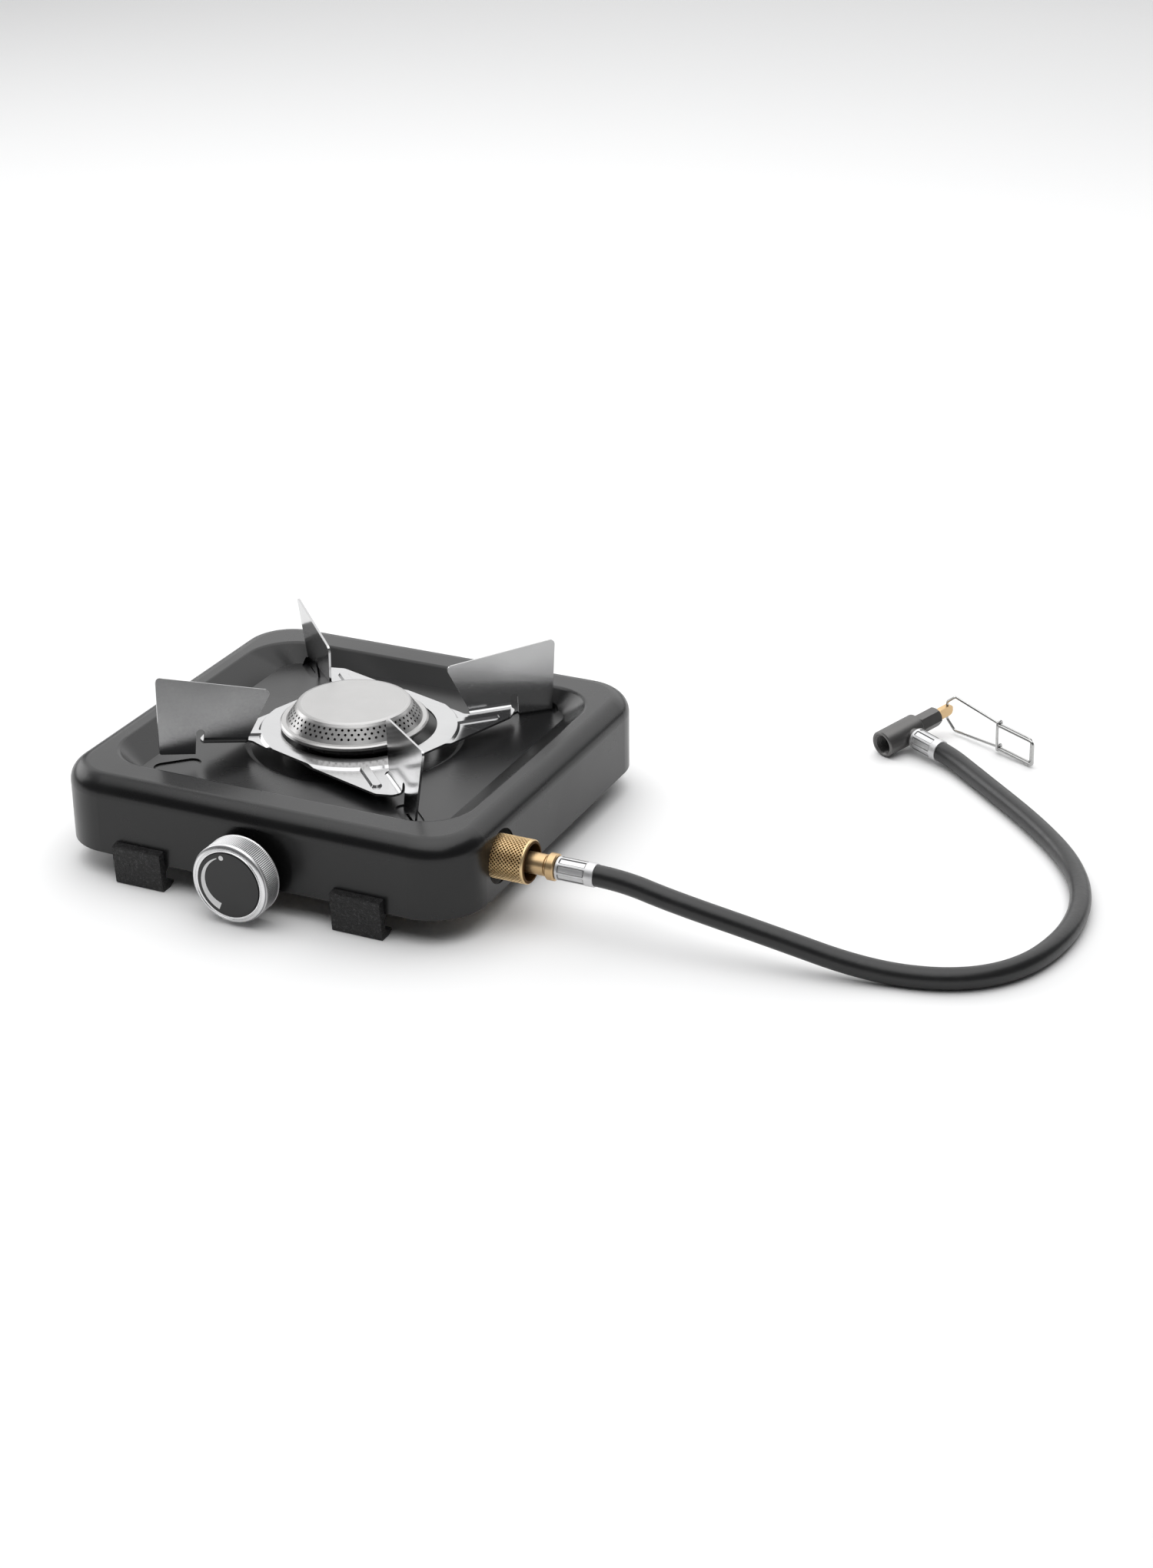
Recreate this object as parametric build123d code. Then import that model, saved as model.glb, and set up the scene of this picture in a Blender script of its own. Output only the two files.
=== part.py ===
from build123d import *
from math import atan, cos, degrees, hypot, pi, radians, sin, sqrt, tan
import os

# Single-burner canister stove with a gas hose. Millimetres, +Z up, ground at Z = 0.
# Everything is drawn about the middle of the body in plan: the knob faces -Y and the
# hose leaves towards +X. move_to_origin() then puts the middle of the stove, without
# its hose, over the origin.

# ---- pressed steel body
body_width = 235.0
body_depth = 223.0
body_height = 41.0
body_corner = 29.0
body_top_round = 10.0
sheet = 1.0
ground_gap = 14.0           # ground to the body's bottom edge
well_width = 204.0          # at its rim
well_length = 176.0
well_corner = 27.0
floor_width = 174.0         # at its floor
floor_length = 160.0
floor_corner = 12.0
well_drop = 9.5
well_lip_round = 2.5
dish_radius = 58.0
dish_drop = 1.5
dish_slope_run = 3.0
dimple_length = 25.0
dimple_width = 10.5
dimple_drop = 0.8

# ---- burner
burner_x = -3.4
burner_y = 5.0
burner_port_radius = 12.5   # hole in the body under the burner
cap_rise = 22.2             # dish to the cap's top face
cap_face_radius = 29.6
cap_shoulder_round = 1.7
cap_skirt_radius = 36.0
cap_sheet = 0.8
skirt_drop = 9.0            # cap's top face to the top of the rolled rim
rim_radius = 39.0
rim_roll = 1.5
flame_rows = 3
flame_holes_per_row = 60
flame_hole_radius = 0.75
flame_row_margin = 1.0      # from the shoulder to the first row
flame_last_margin = 2.3     # from the last row to the rim
bowl_rib_count = 24
bowl_wall = 1.6
bowl_base_radius = 19.0
bowl_neck_radius = 10.5

# ---- pan support
star_x = -0.6
star_y = 4.6
plate_thickness = 1.2
plate_lift = 4.6            # well floor to the underside of the arms
plate_hole_radius = 41.0
raised_radius = 53.0        # the plate's middle is pressed up inside this radius
raised_height = 1.3
raised_slope = 1.3
finger_offset = 11.5        # pressed-up finger on each arm: across, reach and width
finger_reach = 74.0
finger_width = 6.0
arm_tip_out = 84.2          # the arm's tip, out along it and across it
arm_tip_across = -7.0
arm_tip_cut = (79.5, -14.6)
arm_root = (1.0, -55.6)     # its long edge ends here, at the next arm's blade
blade_lean = 6.2
bend_radius = 2.3
raised_arm_root = 50.0      # one arm is sprung up a little: where, how much, and its blade's lean
raised_arm_angle = 8.3
raised_arm_lean = -11.0
blade_line = -4.0           # the bend's centre line, across the arm
blade_inner_bottom = 60.1
blade_inner_top = 48.5
blade_outer_top = 110.4
blade_outer_bottom = 106.7
blade_inner_height = 26.6   # above the arm's top face
blade_outer_height = 33.6
blade_corner_round = 2.5
notch_start = 83.6
notch_width = 4.3
notch_height = 6.4
tab_length = 8.0
tab_depth = 4.4
tab_clearance = 0.3

# ---- clip feet
foot_width = 28.0
foot_places = {"left": -64.5, "right": 61.5}
foot_top = 22.0             # ground to the lip against the wall
foot_lip_fall = 0.9
foot_top_out = 4.6          # wall to the front face, at its top and at the ground
foot_ground_out = 3.0
foot_toe = 7.2              # how far the toe runs under the body
foot_toe_height = 2.9
foot_shank = 0.6            # the shank's back, under the wall
foot_grip = 6.5             # height of wall that a foot holds
foot_jaw = 2.2
foot_clearance = 0.1

# ---- knob and valve
knob_height = 23.3
knob_radius = 21.2
knob_face_radius = 17.2
knob_wall = 2.2
knob_projection = 20.7      # body front to the knob's face
knob_gap = 6.6              # body front to the knob's back
knob_bevel = 1.2
spindle_radius = 3.0
fit_clearance = 0.05
valve_radius = 8.5
valve_length = 26.0
neck_radius = 5.5
neck_hole_clearance = 0.3
neck_nut_flats = 14.0
neck_nut_height = 3.5
port_radius = 5.0
port_reach = 13.0
port_setback = 18.0         # body front to the side port
jet_radius = 2.6
jet_length = 9.0

# ---- gas supply inside the body
inlet_y = -66.0
inlet_drop = 22.0           # body's top to the hose's middle
pipe_radius = 3.0
pipe_bend = 11.0
pipe_nut_flats = 11.0
pipe_nut_length = 8.0
bracket_inset = 33.5        # body's side to the bracket's outer face
bracket_sheet = 1.2
bracket_under = 10.0        # bracket's edges from the hose's middle: below, above and beyond
bracket_over = 10.5
bracket_beyond = 12.5
bracket_foot = 18.0
inlet_thread_radius = 7.9
inlet_hex_flats = 17.0
inlet_hex_length = 8.0
inlet_nut_flats = 20.0
inlet_nut_length = 5.0
inlet_bore_radius = 1.8

# ---- mixing tube
tube_radius = 9.0
tube_wall = 1.2
tube_bend = 15.0
bell_radius = 12.5
bell_length = 10.0
flange_radius = 19.0
flange_thickness = 2.0
screw_circle = 16.0
screw_radius = 1.5

# ---- hose union
wall_hole_radius = 14.2
collar_radius = 11.3
collar_start = -3.5         # from the body's side, along the hose
collar_length = 20.4
collar_thread_depth = 9.0
collar_web = 3.0
collar_skirt_wall = 1.8
tail_radius = 5.5
tail_head_radius = 7.6
tail_head_length = 2.5
tail_flange_radius = 6.9
tail_flange_start = 26.2    # from the body's side, along the hose
tail_flange_length = 4.6
stem_radius = 2.9
ferrule_radius = 6.05
ferrule_end_round = 0.8
ferrule_end = 51.6

# ---- hose
hose_radius = 5.5
hose_route = [
    (183.5, -66.0, 33.0),
    (209, -67.6, 28.4),
    (256.3, -63.6, 18.8),
    (302.5, -55.0, 5.5),
    (345.3, -47.2, 5.5),
    (371.9, -23.4, 5.5),
    (382.2, 11.1, 5.5),
    (379.8, 57.4, 5.5),
    (362, 98.8, 5.5),
    (331.2, 132.2, 5.5),
    (310.8, 149.0, 5.5),
]
hose_last_run = 22.6

# ---- cartridge valve at the hose's far end
valve_x = 235.3
valve_y = 202.4
valve_heading = 64.0        # its axis in plan, from +X
valve_pitch = 7.0
cup_radius = 7.6
cup_to_branch = 18.4
cup_end = 8.2               # branch to the shoulder
cup_thread_radius = 5.55
cup_thread_depth = 9.5
cup_groove_radius = 5.85
cup_groove_length = 3.3     # thread run-out, where the seal sits
seat_radius = 3.4
seat_depth = 3.6
seal_thickness = 1.6
seal_hole_radius = 2.4
branch_radius = 5.0
far_ferrule_start = 8.4
far_ferrule_end = 27.4
shoulder_radius = 5.0
gland_flats = 9.8
gland_start = 9.6
gland_thread_radius = 3.8
gland_thread_length = 4.0
gland_end = 24.4
valve_stem_radius = 2.5
stem_head_width = 6.4
stem_head_thickness = 3.0
stem_end = 36.2
cross_hole_at = 33.2
pin_radius = 0.8

# ---- wire handle
wire_radius = 0.8
handle_heading = -23.7      # which way it lies in plan, from +X
handle_droop = 4.2
handle_length = 62.0
handle_knee_out = 6.0
handle_knee_half = 11.2
handle_half = 7.6
handle_straight_from = 38.0
wire_bend = 2.2
slider_start = 38.8
slider_end = 64.6

# ---- worked out from the sizes above
top_height = ground_gap + body_height
inlet_height = top_height - inlet_drop
hose_start = (body_width / 2 + ferrule_end, inlet_y, inlet_height)
floor_height = top_height - well_drop
dish_height = floor_height - dish_drop
cap_height = dish_height + cap_rise
rim_height = cap_height - skirt_drop
front_face = -body_depth / 2
side_face = body_width / 2
bracket_x = side_face - bracket_inset
plate_bottom = floor_height + plate_lift
plate_top = plate_bottom + plate_thickness
foot_rest = floor_height - dimple_drop
stove_shift_y = (knob_projection - foot_top_out) / 2
slot_centre = blade_outer_bottom - tab_length / 2 - 4.0
dimple_centre = (blade_outer_bottom + notch_start + notch_width) / 2


def move_to_origin(shape):
    return Pos(0, stove_shift_y, 0) * shape


def export(shape, node):
    export_step(move_to_origin(shape), f"parts/{node}.step")


def turned(points):
    # a closed outline of (radius, height) points turned about Z
    outline = Polyline([(radius, 0, height) for radius, height in points], close=True)
    return revolve(make_face(outline), Axis.Z)


def along(direction, point, x_direction=None):
    return Plane(origin=point, x_dir=x_direction, z_dir=direction).location


def hexagon(flats, length):
    return extrude(RegularPolygon(flats / 2, 6, major_radius=False), length)


def ring(outer, inner, length):
    return extrude(Circle(outer) - Circle(inner), length)


def polar(radius, angle):
    return radius * cos(radians(angle)), radius * sin(radians(angle))


def swept(path, radius):
    start = Plane(origin=path @ 0, z_dir=path % 0)
    return sweep(start * Circle(radius), path=path)


def around(count, shape):
    return [Rot(0, 0, 360 / count * index) * shape for index in range(count)]


def frustum(outline, low_size, high_size, low, high):
    # outline(size) is a flat sketch; the solid grows from one size to the other
    faces = [Pos(0, 0, low) * outline(low_size), Pos(0, 0, high) * outline(high_size)]
    return loft(faces)


def at_burner(shape):
    return Pos(burner_x, burner_y, 0) * shape


def at_star(shape):
    return Pos(star_x, star_y, 0) * shape


# ---------------------------------------------------------------- body

def offset_spread(thickness, run, drop):
    # how far a slope moves outwards in plan when a sheet's thickness is added to it
    return thickness * (hypot(run, drop) - run) / drop


def rounded_plan(width, length, corner, spread_x, spread_y, height):
    plan = RectangleRounded(width + 2 * spread_x, length + 2 * spread_y, corner + spread_y)
    return Pos(0, 0, height) * plan


def well_space(thickness):
    # the well's own space, and with a thickness the same form under the sheet
    spread_x = offset_spread(thickness, (well_width - floor_width) / 2, well_drop)
    spread_y = offset_spread(thickness, (well_length - floor_length) / 2, well_drop)
    low = floor_height - thickness
    high = top_height - thickness
    floor_plan = rounded_plan(floor_width, floor_length, floor_corner, spread_x, spread_y, low)
    rim_plan = rounded_plan(well_width, well_length, well_corner, spread_x, spread_y, high)
    return loft([floor_plan, rim_plan])


def dish_space(thickness):
    # the shallow round dish in the well's floor, under the burner
    spread = offset_spread(thickness, dish_slope_run, dish_drop)
    low = dish_height - thickness
    high = floor_height - thickness
    dish = frustum(Circle, dish_radius - dish_slope_run + spread, dish_radius + spread, low, high)
    return at_burner(dish)


def dimple_space(thickness):
    # a long shallow dimple that each foot of the pan support stands in
    slot = Pos(dimple_centre, blade_foot_across(), floor_height - dimple_drop - thickness)
    plan = SlotOverall(dimple_length + 2 * thickness, dimple_width + 2 * thickness)
    dimple = slot * extrude(plan, dimple_drop + 3)
    return [at_star(turn) for turn in around(4, Rot(0, 0, -45) * dimple)]


def rounded_block(inset, bottom):
    plan = RectangleRounded(body_width - 2 * inset, body_depth - 2 * inset, body_corner - inset)
    block = Pos(0, 0, bottom) * extrude(plan, top_height - inset - bottom)
    top_edges = block.edges().group_by(Axis.Z)[-1]
    return fillet(top_edges, body_top_round - inset)


def body_shell():
    outside = rounded_block(0, ground_gap) - well_space(0)
    lip = []
    for edge in outside.edges().group_by(Axis.Z)[-1]:
        middle = edge.center()
        if abs(middle.X) < well_width / 2 + 1 and abs(middle.Y) < well_length / 2 + 1:
            lip.append(edge)
    outside = fillet(lip, well_lip_round)
    outside -= [dish_space(0)] + dimple_space(0)
    inside = rounded_block(sheet, ground_gap - sheet) - well_space(sheet)
    inside -= [dish_space(sheet)] + dimple_space(sheet)
    shell = outside - inside
    neck_hole = along((0, -1, 0), (0, front_face + 2 * sheet, knob_height)) * Cylinder(neck_radius + neck_hole_clearance, 6 * sheet)
    hose_hole = along((1, 0, 0), (side_face, inlet_y, inlet_height)) * Cylinder(wall_hole_radius, 6 * sheet)
    port = at_burner(Pos(0, 0, dish_height) * Cylinder(burner_port_radius, 8 * sheet))
    screw = Pos(screw_circle, 0, dish_height) * Cylinder(screw_radius + tab_clearance, 8 * sheet)
    cuts = [neck_hole, hose_hole, port] + [at_burner(turn) for turn in around(2, screw)]
    cuts += [at_star(turn) for turn in around(2, Rot(0, 0, -45) * tab_slot())]
    return shell - cuts


def tab_slot():
    width = plate_thickness + 2 * tab_clearance + 0.5
    slot = Box(tab_length + 2 * tab_clearance, width, 8 * sheet)
    return Pos(slot_centre, blade_foot_across(), floor_height) * slot


# ---------------------------------------------------------------- pan support

def blade_foot_across():
    # where the leaning blade's middle meets the well floor, across the arm
    rise = plate_top + bend_radius - (foot_rest - tab_depth / 2)
    start = blade_line + bend_radius * cos(radians(blade_lean))
    return start - rise * tan(radians(blade_lean)) + plate_thickness / 2


def blade_plane(lean_angle):
    # x runs out along the arm, y up the leaning blade, z faces the plate's side
    lean = radians(lean_angle)
    across = blade_line + bend_radius * cos(lean)
    height = plate_top + bend_radius - bend_radius * sin(lean)
    return Plane(origin=(0, across, height), x_dir=(1, 0, 0), z_dir=(0, -cos(lean), sin(lean)))


def up_blade(height):
    # distance up the leaning blade of a height above the ground
    lean = radians(blade_lean)
    start = plate_top + bend_radius - bend_radius * sin(lean)
    return (height - start) / cos(lean)


def blade_outline():
    # its straight foot stands in a dimple of the well
    foot = up_blade(foot_rest + 0.15)
    notch_top = up_blade(plate_top + notch_height)
    notch_end = notch_start + notch_width
    points = [
        (blade_inner_bottom, 0),
        (blade_inner_top, up_blade(plate_top + blade_inner_height)),
        (blade_outer_top, up_blade(plate_top + blade_outer_height)),
        (blade_outer_bottom, foot),
        (notch_end, foot),
        (notch_end, notch_top),
        (notch_start, notch_top),
        (notch_start, 0),
    ]
    notch_round = notch_width / 2 - 0.1
    radii = [0, blade_corner_round, blade_corner_round, 1, 0, notch_round, notch_round, 0]
    return make_face(FilletPolyline(points, radius=radii, close=True))


def foot_tab():
    # goes down from the blade's foot through a slot in the well, to be twisted under it
    low = up_blade(foot_rest - tab_depth)
    high = up_blade(foot_rest + 3.0)
    width = RectangleRounded(tab_length, high - low, 1)
    return blade_plane(blade_lean) * (Pos(slot_centre, (low + high) / 2) * width)


def blade_bend(lean_angle):
    # the quarter-round bend between the plate and the blade
    centre = Vector(blade_line, plate_top + bend_radius)
    outer = bend_radius + plate_thickness
    end = -lean_angle
    middle = (end - 90) / 2
    inner_arc = ThreePointArc(*[centre + polar(bend_radius, angle) for angle in (-90, middle, end)])
    outer_arc = ThreePointArc(*[centre + polar(outer, angle) for angle in (-90, middle, end)])
    ends = [Line(inner_arc @ 0, outer_arc @ 0), Line(inner_arc @ 1, outer_arc @ 1)]
    profile = Plane.YZ * make_face([inner_arc, outer_arc] + ends)
    return Pos(blade_inner_bottom, 0, 0) * extrude(profile, notch_start - blade_inner_bottom)


def arm_outline():
    # one quarter of the plate: out along the blade to the arm's tip, then straight back
    # to where the next blade starts
    root_out, root_across = arm_root
    points = [
        (0, 0),
        (-root_across, root_out),
        (-root_across + 1.6, blade_line + 1.6),
        (blade_inner_bottom, blade_line),
        (notch_start, blade_line),
        (arm_tip_out, arm_tip_across),
        arm_tip_cut,
        arm_root,
    ]
    return make_face(FilletPolyline(points, radius=[0, 0, 1.5, 0, 0.8, 4.0, 5.0, 0], close=True))


def raised_form(base, inset):
    # the pressed-up middle and fingers, as a solid standing on a height
    top_inset = inset + raised_slope
    rise = Pos(0, 0, base)
    middle = rise * extrude_between(Circle, raised_radius - inset, raised_radius - top_inset)
    length = finger_reach - raised_radius + 8
    finger = Pos(finger_reach - length / 2, -finger_offset, 0) * rise
    finger = finger * extrude_between(
        lambda edge: SlotOverall(length - 2 * edge, finger_width - 2 * edge), inset * 0.5, inset * 0.5 + 0.9
    )
    return middle, around(4, finger)


def extrude_between(outline, low_size, high_size):
    return frustum(outline, low_size, high_size, 0, raised_height)


def up_standing_blade(lean_angle):
    return extrude(blade_plane(lean_angle) * blade_outline(), -plate_thickness) + blade_bend(lean_angle)


def with_raised_arm(support):
    # the front left arm is sprung up at its root, and its blade stands the other way
    turn = Rot(0, 0, 270)
    wide = 2 * blade_outer_top
    beyond = turn * (Pos(raised_arm_root, 0, plate_bottom) * Box(wide, wide, wide, align=(Align.MIN, Align.CENTER, Align.CENTER)))
    arm = (turn.inverse() * (support & beyond)) + up_standing_blade(raised_arm_lean)
    root = Pos(raised_arm_root, 0, plate_bottom)
    sprung = root * Rot(0, -raised_arm_angle, 0) * root.inverse() * arm
    return (support - beyond) + turn * sprung


def pan_support():
    outline = Sketch() + around(4, arm_outline())
    plate = Pos(0, 0, plate_bottom) * extrude(outline, plate_thickness)
    prism = Pos(0, 0, plate_bottom) * extrude(outline, plate_thickness + 2 * raised_height)
    middle, fingers = raised_form(plate_top, 0)
    support = plate + (middle & prism) + fingers
    under_middle, under_fingers = raised_form(plate_bottom, raised_slope)
    support = support - under_middle - under_fingers
    support -= Pos(0, 0, plate_bottom) * Cylinder(plate_hole_radius, 20)
    support = support + around(4, up_standing_blade(blade_lean))[:3]
    support = support + around(2, extrude(foot_tab(), -plate_thickness))
    return at_star(Rot(0, 0, -45) * with_raised_arm(support))


# ---------------------------------------------------------------- burner

def skirt_radius_at(height):
    # the perforated band slopes evenly from under the cap's face to the rim
    top = cap_height - cap_shoulder_round
    share = (top - height) / (top - rim_height)
    return cap_face_radius + 1.2 + share * (cap_skirt_radius - cap_face_radius - 1.2)


def burner_cap():
    inner_top = cap_height - cap_sheet
    shoulder = cap_height - cap_shoulder_round
    outline = [
        (0, cap_height),
        (cap_face_radius - 1.6, cap_height),
        (cap_face_radius + 0.2, cap_height - 0.5),
        (skirt_radius_at(shoulder), shoulder),
        (skirt_radius_at(rim_height), rim_height),
        (rim_radius - 0.8, rim_height),
        (rim_radius, rim_height - 0.7),
        (rim_radius, rim_height - 2.2),
        (rim_radius - 0.8, rim_height - 2.9),
        (cap_skirt_radius - 0.4, rim_height - 2.9),
        (cap_skirt_radius - 1.0, rim_height - 1.0),
        (skirt_radius_at(shoulder) - cap_sheet, shoulder - 0.3),
        (cap_face_radius - 1.4, inner_top),
        (0, inner_top),
    ]
    cap = turned(outline)
    slope = atan((cap_skirt_radius - cap_face_radius - 1.2) / (shoulder - rim_height))
    first_row = shoulder - flame_row_margin
    row_pitch = (first_row - rim_height - flame_last_margin) / (flame_rows - 1)
    holes = []
    for row in range(flame_rows):
        height = first_row - row * row_pitch
        hole = extrude(RegularPolygon(flame_hole_radius, 6), 4, both=True)
        place = Pos(skirt_radius_at(height), 0, height) * Rot(0, 90 - degrees(slope), 0)
        for index in range(flame_holes_per_row):
            turn = 360 / flame_holes_per_row * (index + 0.5 * (row % 2))
            holes.append(Rot(0, 0, turn) * place * hole)
    return at_burner(cap - holes)


def burner_bowl():
    top = rim_height - 2.9 - 0.02
    base = dish_height
    outer_top = cap_skirt_radius - 2.2
    step = 0.66 * (top - base)
    shape = turned([
        (bowl_neck_radius, base - sheet + 0.05),
        (burner_port_radius - tab_clearance, base - sheet + 0.05),
        (burner_port_radius - tab_clearance, base),
        (bowl_base_radius, base),
        (bowl_base_radius, base + 1.4),
        (outer_top - 6, base + 0.28 * (top - base)),
        (outer_top, base + step),
        (outer_top, top),
        (outer_top - bowl_wall, top),
        (outer_top - bowl_wall, base + step + 0.7),
        (outer_top - 7, base + 0.44 * (top - base)),
        (bowl_neck_radius + 1, base + 3.0),
        (bowl_neck_radius, base + 2.0),
    ])
    rib = Pos(outer_top, 0, (base + step + top) / 2) * Box(1.6, 1.2, top - base - step)
    tapped = Pos(screw_circle, 0, base) * Cylinder(screw_radius + fit_clearance, 2.4)
    return at_burner(shape + around(bowl_rib_count, rib) - around(2, tapped))


def burner_screws():
    top = dish_height + 1.1
    length = 1.1 + sheet + flange_thickness
    shank = Cylinder(screw_radius, length, align=(Align.CENTER, Align.CENTER, Align.MAX))
    head = Pos(0, 0, -length) * Cylinder(2 * screw_radius, 1.8, align=(Align.CENTER, Align.CENTER, Align.MAX))
    screw = Pos(screw_circle, 0, top) * (shank + head)
    return Part() + [at_burner(turn) for turn in around(2, screw)]


def tube_path(start_y):
    # straight back from the jet, then up into the burner
    flange_top = dish_height - sheet
    points = [(burner_x, start_y, knob_height), (burner_x, burner_y, knob_height), (burner_x, burner_y, flange_top)]
    return FilletPolyline(points, radius=tube_bend)


def bell_mouth_y():
    return front_face + valve_length + jet_length + 1.0


def mixing_tube():
    mouth = bell_mouth_y()
    flange_top = dish_height - sheet
    outside = swept(tube_path(mouth), tube_radius)
    flange = Pos(0, 0, flange_top) * Cylinder(flange_radius, flange_thickness, align=(Align.CENTER, Align.CENTER, Align.MAX))
    bell = frustum(Circle, bell_radius, tube_radius, 0, bell_length)
    bell_inside = frustum(Circle, bell_radius - tube_wall, tube_radius - tube_wall, 0, bell_length)
    mouth_place = along((0, 1, 0), (burner_x, mouth, knob_height))
    outside = outside + [at_burner(flange), mouth_place * bell]
    passage = swept(tube_path(mouth - 1), tube_radius - tube_wall)
    tube = outside - [passage, mouth_place * bell_inside]
    window = along((0, 1, 0), (burner_x, mouth + 5.5, knob_height)) * Box(30, 5, 5)
    screw = Pos(screw_circle, 0, flange_top) * Cylinder(screw_radius + tab_clearance, 4 * flange_thickness)
    return tube - ([window] + [at_burner(turn) for turn in around(2, screw)])


# ---------------------------------------------------------------- knob and gas valve

def knob_place():
    # z runs out of the front face, towards the user; z = 0 is the body's front
    return along((0, -1, 0), (0, front_face, knob_height), (1, 0, 0))


def knob_core():
    front = knob_projection
    skirt = knob_radius - knob_wall - fit_clearance
    cup = turned([
        (0, front),
        (knob_face_radius, front),
        (knob_face_radius, front - knob_bevel),
        (skirt, front - knob_bevel),
        (skirt, knob_gap + 0.6),
        (skirt - 2.2, knob_gap + 0.6),
        (skirt - 2.2, front - 4.5),
        (spindle_radius + 3.2, front - 4.5),
        (spindle_radius + 3.2, knob_gap + 6.0),
        (0, knob_gap + 6.0),
    ])
    bore = Pos(0, 0, front - 4.0) * Cylinder(spindle_radius + fit_clearance, knob_projection, align=(Align.CENTER, Align.CENTER, Align.MAX))
    return knob_place() * (cup - bore)


def knob_ring():
    front = knob_projection - 0.4
    inner = knob_radius - knob_wall
    return knob_place() * turned([
        (knob_face_radius + fit_clearance, front),
        (knob_face_radius + 0.5, front),
        (knob_radius, front - knob_bevel),
        (knob_radius, knob_gap),
        (inner, knob_gap),
        (inner, knob_projection - knob_bevel),
        (knob_face_radius + fit_clearance, knob_projection - knob_bevel),
    ])


def valve_spindle():
    tip = -valve_length + 6.0
    front = knob_projection - 4.2
    return knob_place() * turned([
        (0, front),
        (spindle_radius, front),
        (spindle_radius, tip + 3.0),
        (0.6, tip),
        (0, tip),
    ])


def valve_body():
    back = -valve_length
    inside = -sheet
    neck_out = neck_nut_height + 0.8
    shape = turned([
        (spindle_radius + fit_clearance, neck_out),
        (neck_radius, neck_out),
        (neck_radius, inside),
        (valve_radius + 1.5, inside),
        (valve_radius + 1.5, inside - 3.0),
        (valve_radius, inside - 3.5),
        (valve_radius, back + 5.0),
        (valve_radius - 2.0, back),
        (inlet_bore_radius, back),
        (inlet_bore_radius, back + 5.5),
        (spindle_radius + fit_clearance, back + 9.0),
    ])
    port = along((1, 0, 0), (0, 0, -port_setback)) * Cylinder(port_radius, port_reach, align=(Align.CENTER, Align.CENTER, Align.MIN))
    bore = Cylinder(spindle_radius + fit_clearance, 2 * valve_length)
    gas_way = along((1, 0, 0), (0, 0, -port_setback)) * Cylinder(inlet_bore_radius, 2 * port_reach, align=(Align.CENTER, Align.CENTER, Align.MIN))
    body = shape + (port - bore)
    body = body - [gas_way]
    keep_bore = Pos(0, 0, back + 9.0) * Cylinder(spindle_radius + fit_clearance, 3 * valve_length, align=(Align.CENTER, Align.CENTER, Align.MIN))
    return knob_place() * (body - keep_bore)


def neck_nut():
    nut = hexagon(neck_nut_flats, neck_nut_height) - Cylinder(neck_radius, 3 * neck_nut_height)
    return knob_place() * nut


def jet():
    # screwed into the back of the valve, it blows into the mixing tube
    back = -valve_length
    shape = turned([
        (0.4, back),
        (jet_radius + 1.6, back),
        (jet_radius + 1.6, back - 3.0),
        (jet_radius, back - 3.0),
        (jet_radius * 0.6, back - jet_length),
        (0.4, back - jet_length),
    ])
    return knob_place() * shape


# ---------------------------------------------------------------- gas supply

def pipe_line():
    valve_y_line = front_face + port_setback
    start_x = port_reach + 1.0
    end_x = bracket_x - bracket_sheet - inlet_hex_length - 1.0
    middle = (start_x + end_x) / 2
    points = [
        (start_x, valve_y_line, knob_height),
        (middle - 11, valve_y_line, knob_height),
        (middle + 11, inlet_y, inlet_height),
        (end_x, inlet_y, inlet_height),
    ]
    return FilletPolyline(points, radius=pipe_bend)


def gas_pipe():
    line = pipe_line()
    return swept(line, pipe_radius) - swept(line, pipe_radius - 1.0)


def pipe_nut(point, direction, length):
    nut = hexagon(pipe_nut_flats, length) - Cylinder(pipe_radius, 3 * length)
    return along(direction, point) * nut


def valve_pipe_nut():
    place = (port_reach, front_face + port_setback, knob_height)
    nut = pipe_nut(place, (1, 0, 0), pipe_nut_length)
    return nut


def inlet_pipe_nut():
    place = (bracket_x - bracket_sheet - inlet_hex_length, inlet_y, inlet_height)
    return pipe_nut(place, (-1, 0, 0), pipe_nut_length)


def inlet_place():
    # z runs out of the body's side, along the hose; z = 0 is the body's side
    return along((1, 0, 0), (side_face, inlet_y, inlet_height), (0, 1, 0))


def inlet_fitting():
    back = bracket_x - bracket_sheet - side_face
    tip = collar_start + collar_thread_depth - tail_head_length - 0.3
    shape = turned([
        (inlet_bore_radius, back - inlet_hex_length),
        (inlet_thread_radius - 1.0, back - inlet_hex_length),
        (inlet_thread_radius - 1.0, back),
        (inlet_thread_radius, back),
        (inlet_thread_radius, tip - 0.6),
        (inlet_thread_radius - 0.6, tip),
        (inlet_bore_radius, tip),
    ])
    collar = Pos(0, 0, back - inlet_hex_length) * hexagon(inlet_hex_flats, inlet_hex_length)
    collar -= Cylinder(inlet_thread_radius - 2, 400)
    return inlet_place() * (shape + collar)


def inlet_nut():
    nut = hexagon(inlet_nut_flats, inlet_nut_length) - Cylinder(inlet_thread_radius, 3 * inlet_nut_length)
    return Pos(bracket_x - side_face, 0, 0) * inlet_place() * nut


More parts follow.
